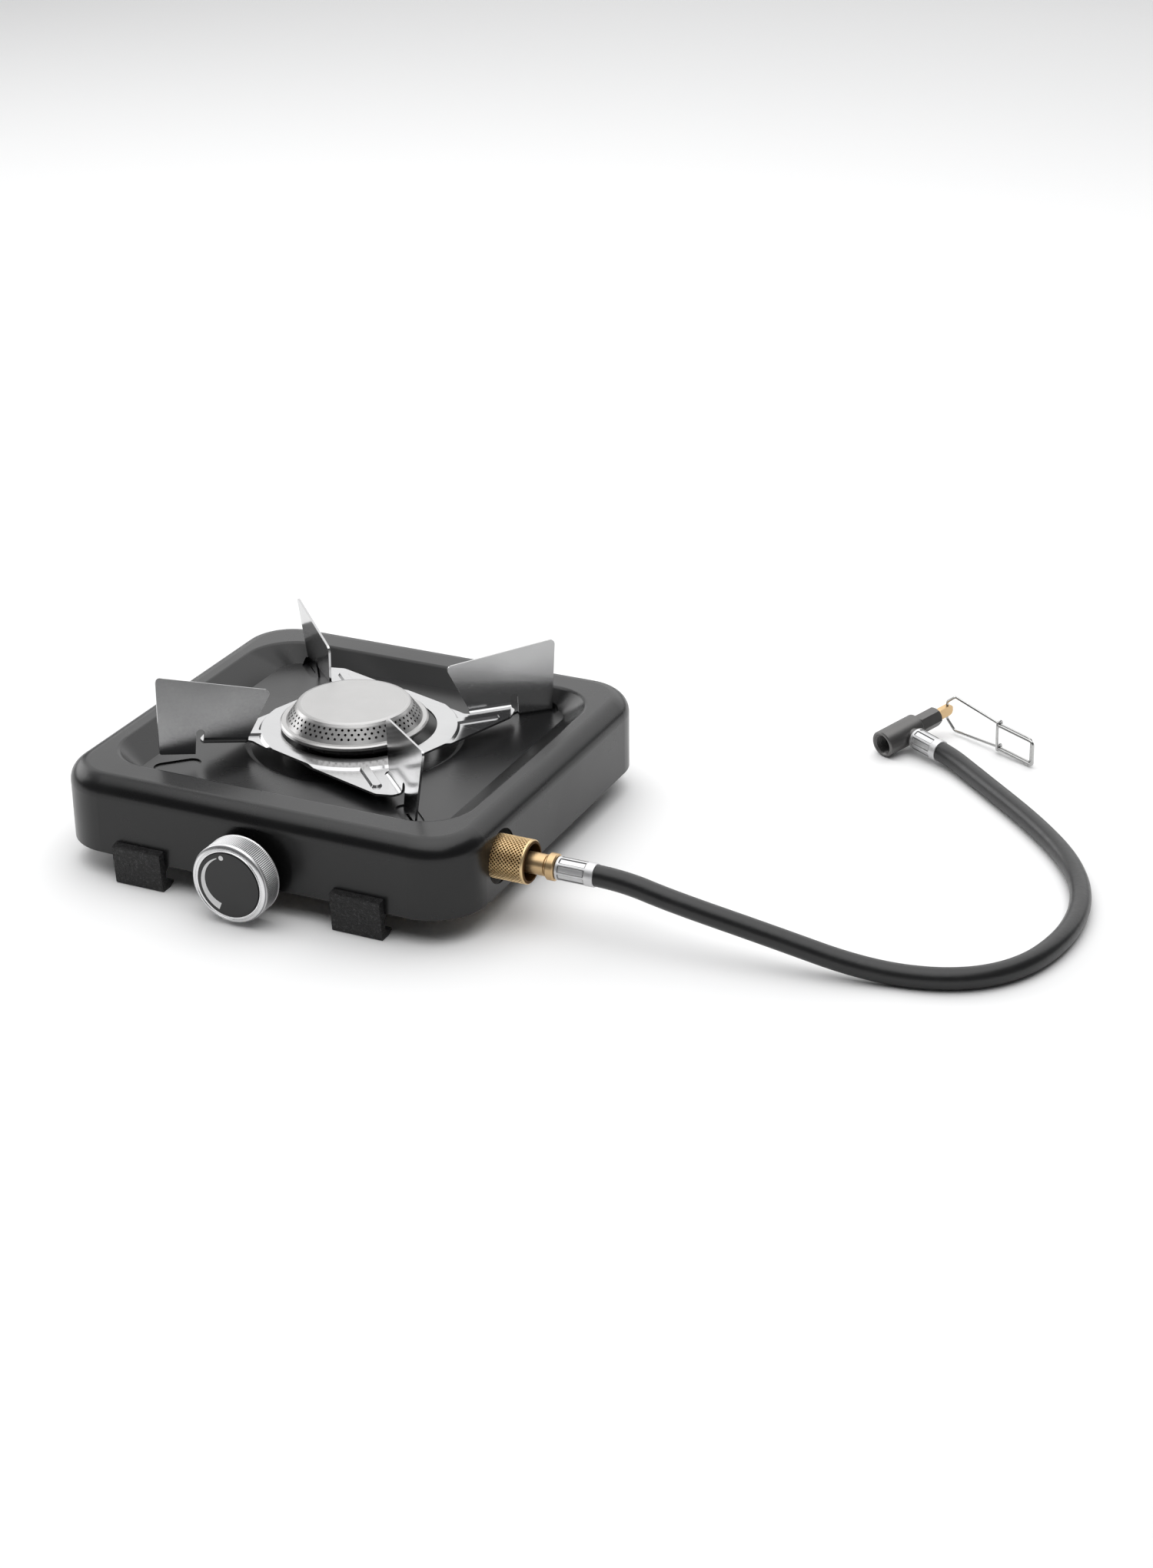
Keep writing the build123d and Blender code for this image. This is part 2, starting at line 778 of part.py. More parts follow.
def inlet_bracket():
    # an L of sheet, spot-welded by its foot to the inside of the front wall
    wall = front_face + sheet
    height = bracket_over + bracket_under
    middle = inlet_height + (bracket_over - bracket_under) / 2
    reach = inlet_y + bracket_beyond - wall
    leg = Box(bracket_sheet, reach, height, align=(Align.MAX, Align.MIN, Align.CENTER))
    foot = Box(bracket_foot, bracket_sheet, height, align=(Align.MAX, Align.MIN, Align.CENTER))
    place = Pos(bracket_x, wall, middle)
    hole = along((1, 0, 0), (bracket_x, inlet_y, inlet_height))
    return place * (leg + foot) - hole * Cylinder(inlet_thread_radius + fit_clearance, 6)


# ---------------------------------------------------------------- hose union

def union_collar():
    # knurled nut with a threaded half on the inlet and an open skirt round the tail
    back = collar_start
    front = back + collar_length
    web = back + collar_thread_depth
    bevel = 0.8
    return inlet_place() * turned([
        (inlet_thread_radius + 0.1, back),
        (collar_radius - bevel, back),
        (collar_radius, back + bevel),
        (collar_radius, front - bevel),
        (collar_radius - bevel, front),
        (collar_radius - collar_skirt_wall, front),
        (collar_radius - collar_skirt_wall, web + collar_web),
        (tail_radius + 0.1, web + collar_web),
        (tail_radius + 0.1, web),
        (inlet_thread_radius + 0.1, web),
    ])


def hose_tail():
    web = collar_start + collar_thread_depth
    head = web - 0.1
    flange = tail_flange_start
    groove = 0.5
    return inlet_place() * turned([
        (inlet_bore_radius, head - tail_head_length),
        (tail_head_radius - 1.5, head - tail_head_length),
        (tail_head_radius, head - 1.0),
        (tail_head_radius, head),
        (tail_radius, head),
        (tail_radius, flange - 1.4),
        (tail_radius - groove, flange - 1.0),
        (tail_radius - groove, flange),
        (tail_flange_radius - 0.6, flange),
        (tail_flange_radius, flange + 0.6),
        (tail_flange_radius, flange + tail_flange_length - 0.6),
        (tail_flange_radius - 0.6, flange + tail_flange_length),
        (stem_radius, flange + tail_flange_length),
        (stem_radius, ferrule_end - 1.0),
        (inlet_bore_radius, ferrule_end - 1.0),
    ])


def ferrule(start, end):
    # crimped sleeve: its middle is pressed in a little against the plain end bands
    round_off = ferrule_end_round
    pressed = ferrule_radius - 0.25
    bore = stem_radius + 0.01
    return turned([
        (bore, start),
        (ferrule_radius - round_off, start),
        (ferrule_radius, start + round_off),
        (ferrule_radius, start + 2.2),
        (pressed, start + 3.0),
        (pressed, end - 5.2),
        (ferrule_radius, end - 4.4),
        (ferrule_radius, end - 0.3),
        (ferrule_radius - 0.3, end),
        (bore, end),
    ])


def near_ferrule():
    return inlet_place() * ferrule(tail_flange_start + tail_flange_length, ferrule_end)


# ---------------------------------------------------------------- cartridge valve

def valve_axis():
    flat = cos(radians(valve_pitch))
    heading = radians(valve_heading)
    return Vector(flat * cos(heading), flat * sin(heading), sin(radians(valve_pitch)))


def valve_centre():
    # the cup's lower edge stands on the ground
    pitch = radians(valve_pitch)
    height = cup_radius * cos(pitch) + cup_to_branch * sin(pitch)
    return Vector(valve_x, valve_y, height)


def branch_axis():
    # square to the valve's axis, and down to where the hose lies on the ground
    axis = valve_axis()
    sideways = Vector(sin(radians(valve_heading)), -cos(radians(valve_heading)), 0)
    upright = axis.cross(sideways) * -1
    drop = (valve_centre().Z - hose_radius - 0.1) / (far_ferrule_end + hose_last_run)
    tilt = atan(drop / upright.Z)
    return (sideways * cos(tilt) - upright * sin(tilt)).normalized()


def valve_place():
    # z runs from the cup to the handle, x runs out along the branch
    return Plane(origin=valve_centre(), x_dir=branch_axis(), z_dir=valve_axis()).location


def branch_place():
    return Plane(origin=valve_centre(), x_dir=valve_axis(), z_dir=branch_axis()).location


def cartridge_valve():
    mouth = -cup_to_branch
    thread_end = mouth + cup_thread_depth
    body = turned([
        (cup_thread_radius + 0.5, mouth),
        (cup_radius - 0.6, mouth),
        (cup_radius, mouth + 0.6),
        (cup_radius, cup_end - 0.8),
        (cup_radius - 0.8, cup_end),
        (shoulder_radius, cup_end),
        (shoulder_radius, gland_start),
        (gland_thread_radius, gland_start),
        (gland_thread_radius, gland_start + gland_thread_length),
        (valve_stem_radius + fit_clearance, gland_start + gland_thread_length),
        (valve_stem_radius + fit_clearance, -2.0),
        (inlet_bore_radius, -4.0),
        (inlet_bore_radius, thread_end + seat_depth),
        (seat_radius, thread_end + seat_depth),
        (seat_radius, thread_end),
        (cup_groove_radius, thread_end),
        (cup_groove_radius, thread_end - cup_groove_length),
        (cup_thread_radius, thread_end - cup_groove_length),
        (cup_thread_radius, mouth + 0.5),
    ])
    branch = along((1, 0, 0), (0, 0, 0)) * Cylinder(branch_radius, far_ferrule_start, align=(Align.CENTER, Align.CENTER, Align.MIN))
    spigot = along((1, 0, 0), (0, 0, 0)) * Cylinder(stem_radius, far_ferrule_end - 1.0, align=(Align.CENTER, Align.CENTER, Align.MIN))
    gas_way = along((1, 0, 0), (0, 0, 0)) * Cylinder(inlet_bore_radius, 40, align=(Align.CENTER, Align.CENTER, Align.MIN))
    core = Pos(0, 0, -4) * Cylinder(valve_stem_radius + fit_clearance, 14, align=(Align.CENTER, Align.CENTER, Align.MIN))
    side = (branch + spigot) - core - gas_way
    return valve_place() * (body + side - gas_way)


def far_ferrule():
    return branch_place() * ferrule(far_ferrule_start, far_ferrule_end)


def cartridge_seal():
    thread_end = -cup_to_branch + cup_thread_depth
    seal = Pos(0, 0, thread_end - seal_thickness) * ring(cup_groove_radius - 0.1, seal_hole_radius, seal_thickness)
    return valve_place() * seal


def opening_pin():
    # pushes the cartridge's own valve open when the cup is screwed on
    thread_end = -cup_to_branch + cup_thread_depth
    shape = turned([
        (0, thread_end - cup_groove_length + 0.2),
        (pin_radius, thread_end - cup_groove_length + 0.2),
        (pin_radius, thread_end + seat_depth - 1.2),
        (seat_radius - fit_clearance, thread_end + seat_depth - 1.2),
        (seat_radius - fit_clearance, thread_end + seat_depth),
        (0, thread_end + seat_depth),
    ])
    return valve_place() * shape


def gland_nut():
    shape = Pos(0, 0, gland_start) * hexagon(gland_flats, gland_end - gland_start)
    corner = gland_flats / sqrt(3)
    turning = turned([
        (0, gland_start),
        (corner - 0.7, gland_start),
        (corner, gland_start + 0.7),
        (corner, gland_end - 1.0),
        (corner - 1.0, gland_end),
        (0, gland_end),
    ])
    bore = Cylinder(valve_stem_radius + fit_clearance, 4 * gland_end)
    socket = Pos(0, 0, gland_start) * Cylinder(gland_thread_radius + fit_clearance, 2 * gland_thread_length + 0.4)
    return valve_place() * ((shape & turning) - bore - socket)


def valve_stem_place():
    # z runs out of the valve, y along the cross hole
    across = cross_hole_axis().cross(valve_axis())
    return Plane(origin=valve_centre(), x_dir=across, z_dir=valve_axis()).location


def handle_direction():
    flat = cos(radians(handle_droop))
    heading = radians(handle_heading)
    return Vector(flat * cos(heading), flat * sin(heading), -sin(radians(handle_droop)))


def cross_hole_axis():
    # square both to the stem and to the way the handle lies
    return handle_direction().cross(valve_axis()).normalized()


def valve_stem():
    # threaded needle with a flat, cross-drilled head outside the gland
    flat_from = gland_end + 0.8
    shape = turned([
        (0, -2.6),
        (valve_stem_radius - 1.4, -1.4),
        (valve_stem_radius, 0.6),
        (valve_stem_radius, flat_from),
        (0, flat_from),
    ])
    middle = (gland_end + stem_end) / 2
    head_plan = Plane(origin=(0, 0, middle + 0.2), x_dir=(0, 1, 0), z_dir=(1, 0, 0)) * RectangleRounded(stem_head_width, stem_end - gland_end - 0.4, 2.4)
    head = extrude(head_plan, stem_head_thickness / 2, both=True)
    hole = along((0, 1, 0), (0, 0, cross_hole_at)) * Cylinder(wire_radius + fit_clearance, 3 * stem_head_width)
    return valve_stem_place() * (shape + head - hole)


def handle_place():
    # x runs out along the handle, y along the cross hole
    hole = valve_centre() + valve_axis() * cross_hole_at
    facing = handle_direction().cross(cross_hole_axis())
    return Plane(origin=hole, x_dir=handle_direction(), z_dir=facing).location


def wire_handle():
    knee = (handle_knee_out, handle_knee_half)
    upper = [(0, 1.6), (0, 5.6), knee, (handle_straight_from, handle_half), (handle_length, handle_half)]
    lower = [(x, -y) for x, y in reversed(upper)]
    line = FilletPolyline(upper + lower, radius=[1.6, 2.4, 4, wire_bend, wire_bend, 4, 2.4, 1.6])
    return handle_place() * swept(line, wire_radius)


def handle_slider():
    # a wire loop that lies along the handle, with an eye round each of its sides
    over = 2 * wire_radius + 0.15
    loop_points = [
        (slider_start, handle_half, over),
        (slider_end, handle_half, over),
        (slider_end, -handle_half, over),
        (slider_start, -handle_half, over),
    ]
    slider = swept(FilletPolyline(loop_points, radius=wire_bend), wire_radius)
    cross = Line((slider_start, handle_half + 0.3, over), (slider_start, -handle_half - 0.3, over))
    slider += swept(cross, wire_radius)
    for side in (1, -1):
        eye = along((1, 0, 0), (slider_start, side * handle_half, 0))
        slider += eye * Torus(over - 0.02, wire_radius - 0.03)
    return handle_place() * slider


def hose_path():
    end = valve_centre() + branch_axis() * far_ferrule_end
    approach = end + branch_axis() * hose_last_run
    points = [Vector(*hose_start)] + [Vector(*point) for point in hose_route] + [approach, end]
    radii = []
    for before, point, after in zip(points, points[1:], points[2:]):
        run_in = point - before
        run_out = after - point
        turn = radians(run_in.get_angle(run_out))
        radii.append(0.45 * min(run_in.length, run_out.length) / tan(turn / 2))
    return points, radii


def hose():
    points, radii = hose_path()
    for point, radius in zip(points[1:], radii):
        print("hose bend at", [round(value, 1) for value in point], "radius", round(radius, 1))
    line = FilletPolyline(points, radius=radii)
    tube = swept(line, hose_radius)
    print("hose length", round(line.length, 1), "volume ratio", round(tube.volume / (pi * hose_radius ** 2 * line.length), 5))
    return tube


# ---------------------------------------------------------------- clip feet

def clip_foot():
    # drawn as the section across the wall: x outwards from the wall's outer face, y up.
    # A slot grips the wall's edge, the shank runs to the ground and turns into a toe.
    edge = ground_gap
    grip_top = edge + foot_grip
    slot = sheet + foot_clearance
    jaw = slot + foot_jaw
    outline = FilletPolyline([
        (foot_clearance / 2, foot_top),
        (foot_top_out, foot_top - foot_lip_fall),
        (foot_ground_out, 0),
        (-foot_toe / 2, 0),
        (-foot_toe, foot_toe_height * 0.6),
        (-foot_toe, foot_toe_height),
        (-foot_shank, foot_toe_height + 0.8),
        (-foot_shank, edge - 4.0),
        (-jaw, edge - 1.6),
        (-jaw, grip_top),
        (-slot, grip_top),
        (-slot, edge - foot_clearance),
        (foot_clearance / 2, edge - foot_clearance),
    ], radius=[0, 0.8, 1.0, 3.5, 0.6, 0.4, 3.0, 1.5, 0.8, 0.6, 0, 0, 0], close=True)
    section = Plane.YZ * make_face(outline)
    return Pos(-foot_width / 2, 0, 0) * extrude(section, foot_width)


def feet():
    # the section's x is the stove's +Y, so a foot stands on the back wall as drawn
    placed = {}
    for side, place in foot_places.items():
        rear = Pos(place, body_depth / 2, 0) * clip_foot()
        placed[f"foot_rear_{side}"] = rear
        placed[f"foot_front_{side}"] = mirror(rear, Plane.XZ)
    return placed


def main():
    os.makedirs("parts", exist_ok=True)
    nodes = {
        "body_shell": body_shell(),
        "pan_support": pan_support(),
        "burner_cap": burner_cap(),
        "burner_bowl": burner_bowl(),
        "burner_screws": burner_screws(),
        "mixing_tube": mixing_tube(),
        "jet": jet(),
        "gas_valve_body": valve_body(),
        "gas_valve_spindle": valve_spindle(),
        "gas_valve_nut": neck_nut(),
        "knob_core": knob_core(),
        "knob_ring": knob_ring(),
        "gas_pipe": gas_pipe(),
        "pipe_nut_valve": valve_pipe_nut(),
        "pipe_nut_inlet": inlet_pipe_nut(),
        "inlet_fitting": inlet_fitting(),
        "inlet_nut": inlet_nut(),
        "inlet_bracket": inlet_bracket(),
        "union_collar": union_collar(),
        "hose_tail": hose_tail(),
        "ferrule_near": near_ferrule(),
        "hose": hose(),
        "ferrule_far": far_ferrule(),
        "cartridge_valve": cartridge_valve(),
        "cartridge_seal": cartridge_seal(),
        "opening_pin": opening_pin(),
        "gland_nut": gland_nut(),
        "valve_stem": valve_stem(),
        "wire_handle": wire_handle(),
        "handle_slider": handle_slider(),
    }
    nodes.update(feet())
    for node, shape in nodes.items():
        export(shape, node)


main()
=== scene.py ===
import math

import bpy
import numpy as np
from mathutils import Matrix, Vector


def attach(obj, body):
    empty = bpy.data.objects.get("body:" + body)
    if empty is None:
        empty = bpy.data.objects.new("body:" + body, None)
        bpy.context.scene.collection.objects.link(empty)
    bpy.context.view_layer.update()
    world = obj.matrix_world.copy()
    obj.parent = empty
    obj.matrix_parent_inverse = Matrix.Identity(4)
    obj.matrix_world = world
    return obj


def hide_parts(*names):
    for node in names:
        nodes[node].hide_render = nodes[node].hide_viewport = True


print("stage: loading the packed stove")
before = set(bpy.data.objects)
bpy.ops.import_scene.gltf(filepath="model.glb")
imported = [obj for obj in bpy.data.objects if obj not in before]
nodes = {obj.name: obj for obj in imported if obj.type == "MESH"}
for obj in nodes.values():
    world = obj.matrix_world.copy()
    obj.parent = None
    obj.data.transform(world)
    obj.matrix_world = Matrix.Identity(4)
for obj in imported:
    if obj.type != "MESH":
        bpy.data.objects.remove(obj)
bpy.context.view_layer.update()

mm = 0.001
footprintShift = 8.05  # mm from the origin back to the body's middle
inletMouth = (117.5, -66.0 + footprintShift, 33.0)  # mm, where the hose's axis leaves the body's side
knobMouth = (0.0, -111.5 + footprintShift, 23.3)  # mm, where the knob's axis leaves the body's front


class Field:
    # a value that varies over a surface; arithmetic on it adds Math nodes
    def __init__(self, finish, socket):
        self.finish = finish
        self.socket = socket

    def maths(self, operation, *others):
        values = dict(enumerate((self,) + others))
        return self.finish.node("ShaderNodeMath", {"operation": operation}, values)

    def __add__(self, other):
        return self.maths("ADD", other)

    __radd__ = __add__

    def __sub__(self, other):
        return self.maths("SUBTRACT", other)

    def __rsub__(self, other):
        return (self * -1) + other

    def __mul__(self, other):
        return self.maths("MULTIPLY", other)

    __rmul__ = __mul__

    def __truediv__(self, other):
        return self.maths("DIVIDE", other)

    def __pow__(self, other):
        return self.maths("POWER", other)

    def clipped(self):
        return self.maths("MAXIMUM", 0.0).maths("MINIMUM", 1.0)


class Finish:
    # a material with one Principled shader
    def __init__(self, name):
        self.material = bpy.data.materials.new(name)
        self.material.use_nodes = True
        self.tree = self.material.node_tree
        self.tree.nodes.clear()
        self.shader = self.tree.nodes.new("ShaderNodeBsdfPrincipled")
        out = self.tree.nodes.new("ShaderNodeOutputMaterial")
        self.tree.links.new(self.shader.outputs[0], out.inputs[0])

    def feed(self, socket, value):
        if isinstance(value, Field):
            self.tree.links.new(value.socket, socket)
        else:
            socket.default_value = value

    def node(self, kind, settings=None, inputs=None, output=0):
        made = self.tree.nodes.new(kind)
        for key, value in (settings or {}).items():
            setattr(made, key, value)
        for key, value in (inputs or {}).items():
            self.feed(made.inputs[key], value)
        return Field(self, made.outputs[output])

    def place(self, turn=(0, 0, 0), stretch=(1, 1, 1), centre=(0, 0, 0)):
        # object coordinates, moved so that centre is the middle, then stretched and turned
        point = self.node("ShaderNodeTexCoord", output="Object")
        moved = self.node("ShaderNodeMapping", {"vector_type": "POINT"},
                          {"Vector": point, "Location": tuple(-c for c in centre)})
        if tuple(turn) == (0, 0, 0) and tuple(stretch) == (1, 1, 1):
            return moved
        return self.node("ShaderNodeMapping", {"vector_type": "POINT"},
                         {"Vector": moved, "Rotation": turn, "Scale": stretch})

    def noise(self, vector, scale, detail=3.0, rough=0.5, distortion=0.0):
        return self.node("ShaderNodeTexNoise", {"noise_dimensions": "3D"},
                         {"Vector": vector, "Scale": scale, "Detail": detail, "Roughness": rough,
                          "Distortion": distortion})

    def toolLines(self, distance, scale):
        # noise along one distance only: the fine lines that a lathe leaves
        return self.node("ShaderNodeTexNoise", {"noise_dimensions": "1D"},
                         {"W": distance, "Scale": scale, "Detail": 2.0})

    def parts(self, vector):
        # the three coordinates of a vector as numbers
        split = self.node("ShaderNodeSeparateXYZ", inputs={"Vector": vector})
        sockets = split.socket.node.outputs
        return [Field(self, sockets[i]) for i in range(3)]

    def mixed(self, mask, low, high):
        # the first colour where the mask is 0 and the second where it is 1
        made = self.node("ShaderNodeMix", {"data_type": "RGBA", "blend_type": "MIX"}, {"Factor": mask},
                         output=2)
        for socket, colour in zip(made.socket.node.inputs[6:8], (low, high)):
            self.feed(socket, colour if isinstance(colour, Field) else (*colour, 1.0))
        return made

    def bump(self, height, depth, strength=1.0, after=None):
        values = {"Height": height, "Distance": depth, "Strength": strength}
        if after is not None:
            values["Normal"] = after
        return self.node("ShaderNodeBump", inputs=values)

    def shade(self, **values):
        for key, value in values.items():
            socket = self.shader.inputs[key.replace("_", " ")]
            if isinstance(value, tuple) and len(value) == 3:
                value = (*value, 1.0)
            self.feed(socket, value)
        return self.material


def shared(first, second, share):
    # a share of the first pattern and the rest of the second
    return first * share + second * (1 - share)


print("stage: finishes")
powderCoat = {"colour": (0.0035, 0.0035, 0.0037), "worn": (0.0068, 0.0068, 0.0071), "roughness": 0.28,
              "specular": 0.43, "peelScale": 1500.0, "peelDepth": 0.04 * mm, "fleckScale": 3450.0,
              "smearScale": 18.0, "smearShare": 0.6, "smearGloss": 0.18}


def makePowderCoat():
    # fine orange peel, with soft handling marks in the colour and the gloss
    look = powderCoat
    finish = Finish("powderCoat")
    point = finish.place()
    peel = finish.noise(point, look["peelScale"], detail=2.0, rough=0.6)
    fleck = finish.noise(point, look["fleckScale"], detail=1.0)
    smear = finish.noise(point, look["smearScale"], detail=4.0, rough=0.55, distortion=0.6)
    colour = finish.mixed(shared(smear, fleck, look["smearShare"]), look["colour"], look["worn"])
    normal = finish.bump(peel, look["peelDepth"], strength=0.45)
    roughness = look["roughness"] + (smear - 0.5) * look["smearGloss"]
    return finish.shade(Base_Color=colour, Roughness=roughness, Normal=normal,
                        Specular_IOR_Level=look["specular"])


brightSheet = {"colour": (0.54, 0.54, 0.54), "dull": (0.45, 0.45, 0.455), "roughness": 0.09,
               "streakStretch": (14.0, 900.0, 900.0), "streakTurn": (0, 0, math.radians(7)),
               "streakRoughness": 0.07, "streakDepth": 0.012 * mm,
               "scratchStretch": (30.0, 2600.0, 2600.0), "scratchTurn": (0.5, 0.2, 1.1),
               "scratchAbove": 0.66, "scratchEdge": 9.0, "scratchShare": 0.3, "scratchRoughness": 0.12,
               "cloudScale": 45.0, "cloudRoughness": 0.06, "waveScale": 32.0, "waveDepth": 0.15 * mm}


def makeBrightSheet():
    # rolled stainless: faint rolling streaks near X, a few slanting scratches, soft clouds in the gloss
    look = brightSheet
    finish = Finish("brightSheet")
    along = finish.place(look["streakTurn"], look["streakStretch"])
    streak = finish.noise(along, 1.0, detail=4.0, rough=0.65)
    cloud = finish.noise(finish.place(), look["cloudScale"])
    scratch = finish.noise(finish.place(look["scratchTurn"], look["scratchStretch"]), 1.0, detail=1.0)
    fine = ((scratch - look["scratchAbove"]) * look["scratchEdge"]).clipped()
    colour = finish.mixed(shared(streak, cloud, 0.5), look["colour"], look["dull"])
    wave = finish.noise(finish.place(), look["waveScale"], detail=1.0)  # left by the press
    normal = finish.bump(streak + fine * look["scratchShare"], look["streakDepth"], strength=0.35,
                         after=finish.bump(wave, look["waveDepth"], strength=0.6))
    roughness = look["roughness"] + streak * look["streakRoughness"] + cloud * look["cloudRoughness"]
    return finish.shade(Base_Color=colour, Metallic=1.0, Normal=normal,
                        Roughness=roughness + fine * look["scratchRoughness"])


burnerSteel = {"colour": (0.48, 0.476, 0.472), "dull": (0.42, 0.416, 0.412), "paintedShade": (0.03, 0.028, 0.026),
               "roughness": 0.27, "ringScale": 2600.0, "ringRoughness": 0.1, "ringDepth": 0.02 * mm,
               "cloudScale": 90.0, "cloudRoughness": 0.06,
               "middle": (-3.4 * mm, (5.0 + footprintShift) * mm, 0.0), "top": 66.2 * mm,
               "skirt": 29.59 * mm, "skirtSlope": 5.2 / 7.3,
               "shoulder": 29.38 * mm, "shoulderSlope": 1.0 / 1.2, "skin": 0.3 * mm, "shadeEdge": 6000.0}


def makeBurnerSteel():
    # spun sheet with rings round the burner's middle, and painted shade under its outer skin; the skin's
    # radius is that of the narrower of two cones, the shoulder's and the skirt's, which widen from the top
    # down
    look = burnerSteel
    finish = Finish("burnerSteel")
    point = finish.place(centre=look["middle"])
    x, y, z = finish.parts(point)
    radius = (x * x + y * y) ** 0.5
    rings = finish.toolLines(radius, look["ringScale"])
    cloud = finish.noise(point, look["cloudScale"])
    down = look["top"] - z
    skirt = down * look["skirtSlope"] + look["skirt"]
    skin = (down * look["shoulderSlope"] + look["shoulder"]).maths("MINIMUM", skirt)
    inside = ((skin - radius - look["skin"]) * look["shadeEdge"]).clipped()
    paintedShade = inside * ((down - look["skin"]) * look["shadeEdge"]).clipped()
    colour = finish.mixed(shared(rings, cloud, 0.5), look["colour"], look["dull"])
    # painted shade: the cap's inside, under its outer skin, is painted near black
    colour = finish.mixed(paintedShade, colour, look["paintedShade"])
    normal = finish.bump(rings, look["ringDepth"], strength=0.35)
    roughness = look["roughness"] + rings * look["ringRoughness"] + cloud * look["cloudRoughness"]
    return finish.shade(Base_Color=colour, Metallic=1.0, Roughness=roughness, Normal=normal)


castAlloy = {"colour": (0.26, 0.26, 0.26), "dull": (0.16, 0.16, 0.165), "roughness": 0.48, "metallic": 0.9,
             "pitScale": 700.0, "pitRoughness": 0.12, "pitDepth": 0.08 * mm, "flowScale": 60.0}


def makeCastAlloy():
    # die-cast skin: fine pits and flow marks
    look = castAlloy
    finish = Finish("castAlloy")
    point = finish.place()
    pits = finish.noise(point, look["pitScale"], detail=4.0, rough=0.6)
    flow = finish.noise(point, look["flowScale"], distortion=1.2)
    colour = finish.mixed(flow, look["colour"], look["dull"])
    return finish.shade(Base_Color=colour, Metallic=look["metallic"],
                        Roughness=look["roughness"] + pits * look["pitRoughness"],
                        Normal=finish.bump(pits, look["pitDepth"], strength=0.5))


platedSteel = {"colour": (0.68, 0.68, 0.67), "dull": (0.55, 0.55, 0.54), "roughness": 0.27,
               "cloudScale": 220.0, "cloudRoughness": 0.12, "grainScale": 1800.0, "grainDepth": 0.02 * mm}


def makePlatedSteel():
    # bright plating with faint clouds and a fine grain
    look = platedSteel
    finish = Finish("platedSteel")
    point = finish.place()
    cloud = finish.noise(point, look["cloudScale"])
    grain = finish.noise(point, look["grainScale"], detail=2.0)
    colour = finish.mixed(cloud, look["colour"], look["dull"])
    return finish.shade(Base_Color=colour, Metallic=1.0,
                        Roughness=look["roughness"] + cloud * look["cloudRoughness"],
                        Normal=finish.bump(grain, look["grainDepth"], strength=0.4))


brass = {"colour": (0.66, 0.47, 0.26), "ridge": (0.92, 0.69, 0.39), "dark": (0.10, 0.05, 0.015),
         "roughness": 0.32, "axis": (0.0, inletMouth[1] * mm, inletMouth[2] * mm),
         "turningScale": 3800.0, "turningRoughness": 0.06, "turningDepth": 0.015 * mm,
         "tarnishScale": 260.0, "tarnish": 0.18, "tarnishAndShadeRoughness": 0.3, "valleyShade": 0.98,
         "valleyCurve": 1.6, "ridgeRadius": 11.22 * mm, "valleyDepth": 0.62 * mm}


def makeBrass(name, knurled=False):
    # turned brass: fine rings along its axis and random tarnish; a knurl takes a paler copy of the brass as
    # a painted highlight on its ridges, and painted shade in its valleys that grows with their depth
    look = brass
    finish = Finish(name)
    point = finish.place(centre=look["axis"])
    x, y, z = finish.parts(point)
    turning = finish.toolLines(x, look["turningScale"])
    tarnish = finish.noise(point, look["tarnishScale"], rough=0.6)
    tarnishAndShade = tarnish * look["tarnish"]
    if knurled:
        radius = (y * y + z * z) ** 0.5
        # painted shade in the knurl's valleys, darker the deeper they lie
        valley = ((look["ridgeRadius"] - radius) / look["valleyDepth"]).clipped()
        tarnishAndShade = tarnishAndShade + valley ** look["valleyCurve"] * look["valleyShade"]
    # the knurl's paler ridge colour is a painted highlight on the same brass
    colour = finish.mixed(tarnishAndShade.clipped(), look["ridge" if knurled else "colour"], look["dark"])
    roughness = look["roughness"] + tarnishAndShade * look["tarnishAndShadeRoughness"] + turning * look["turningRoughness"]
    return finish.shade(Base_Color=colour, Metallic=1.0, Roughness=roughness,
                        Normal=finish.bump(turning, look["turningDepth"], strength=0.35))


ferruleMetal = {"colour": (0.74, 0.74, 0.745), "dull": (0.56, 0.56, 0.565), "creaseShadeColour": (0.05, 0.05, 0.05),
                "roughness": 0.40, "dragStretch": (60.0, 900.0, 900.0), "dragDepth": 0.02 * mm,
                "cloudScale": 300.0, "cloudRoughness": 0.14, "creaseShade": 0.95}


def makeFerruleMetal():
    # drag marks from the crimping jaws, and painted shade on the pressed slopes beside the ribs, where the
    # sleeve's "tone" attribute is high
    look = ferruleMetal
    finish = Finish("ferruleMetal")
    point = finish.place()
    drag = finish.noise(finish.place(stretch=look["dragStretch"]), 1.0)
    cloud = finish.noise(point, look["cloudScale"])
    creaseShade = finish.node("ShaderNodeAttribute", {"attribute_name": "tone"}, output=2)
    colour = finish.mixed(shared(drag, cloud, 0.5), look["colour"], look["dull"])
    # painted shade: the slopes beside the ribs are painted dark
    colour = finish.mixed(creaseShade * look["creaseShade"], colour, look["creaseShadeColour"])
    return finish.shade(Base_Color=colour, Metallic=1.0,
                        Roughness=look["roughness"] + cloud * look["cloudRoughness"],
                        Normal=finish.bump(drag, look["dragDepth"], strength=0.4))


anodised = {"colour": (0.125, 0.123, 0.121), "pale": (0.165, 0.162, 0.16), "roughness": 0.38,
            "metallic": 0.85, "grainScale": 2200.0, "grainDepth": 0.02 * mm, "cloudScale": 130.0,
            "cloudRoughness": 0.08}


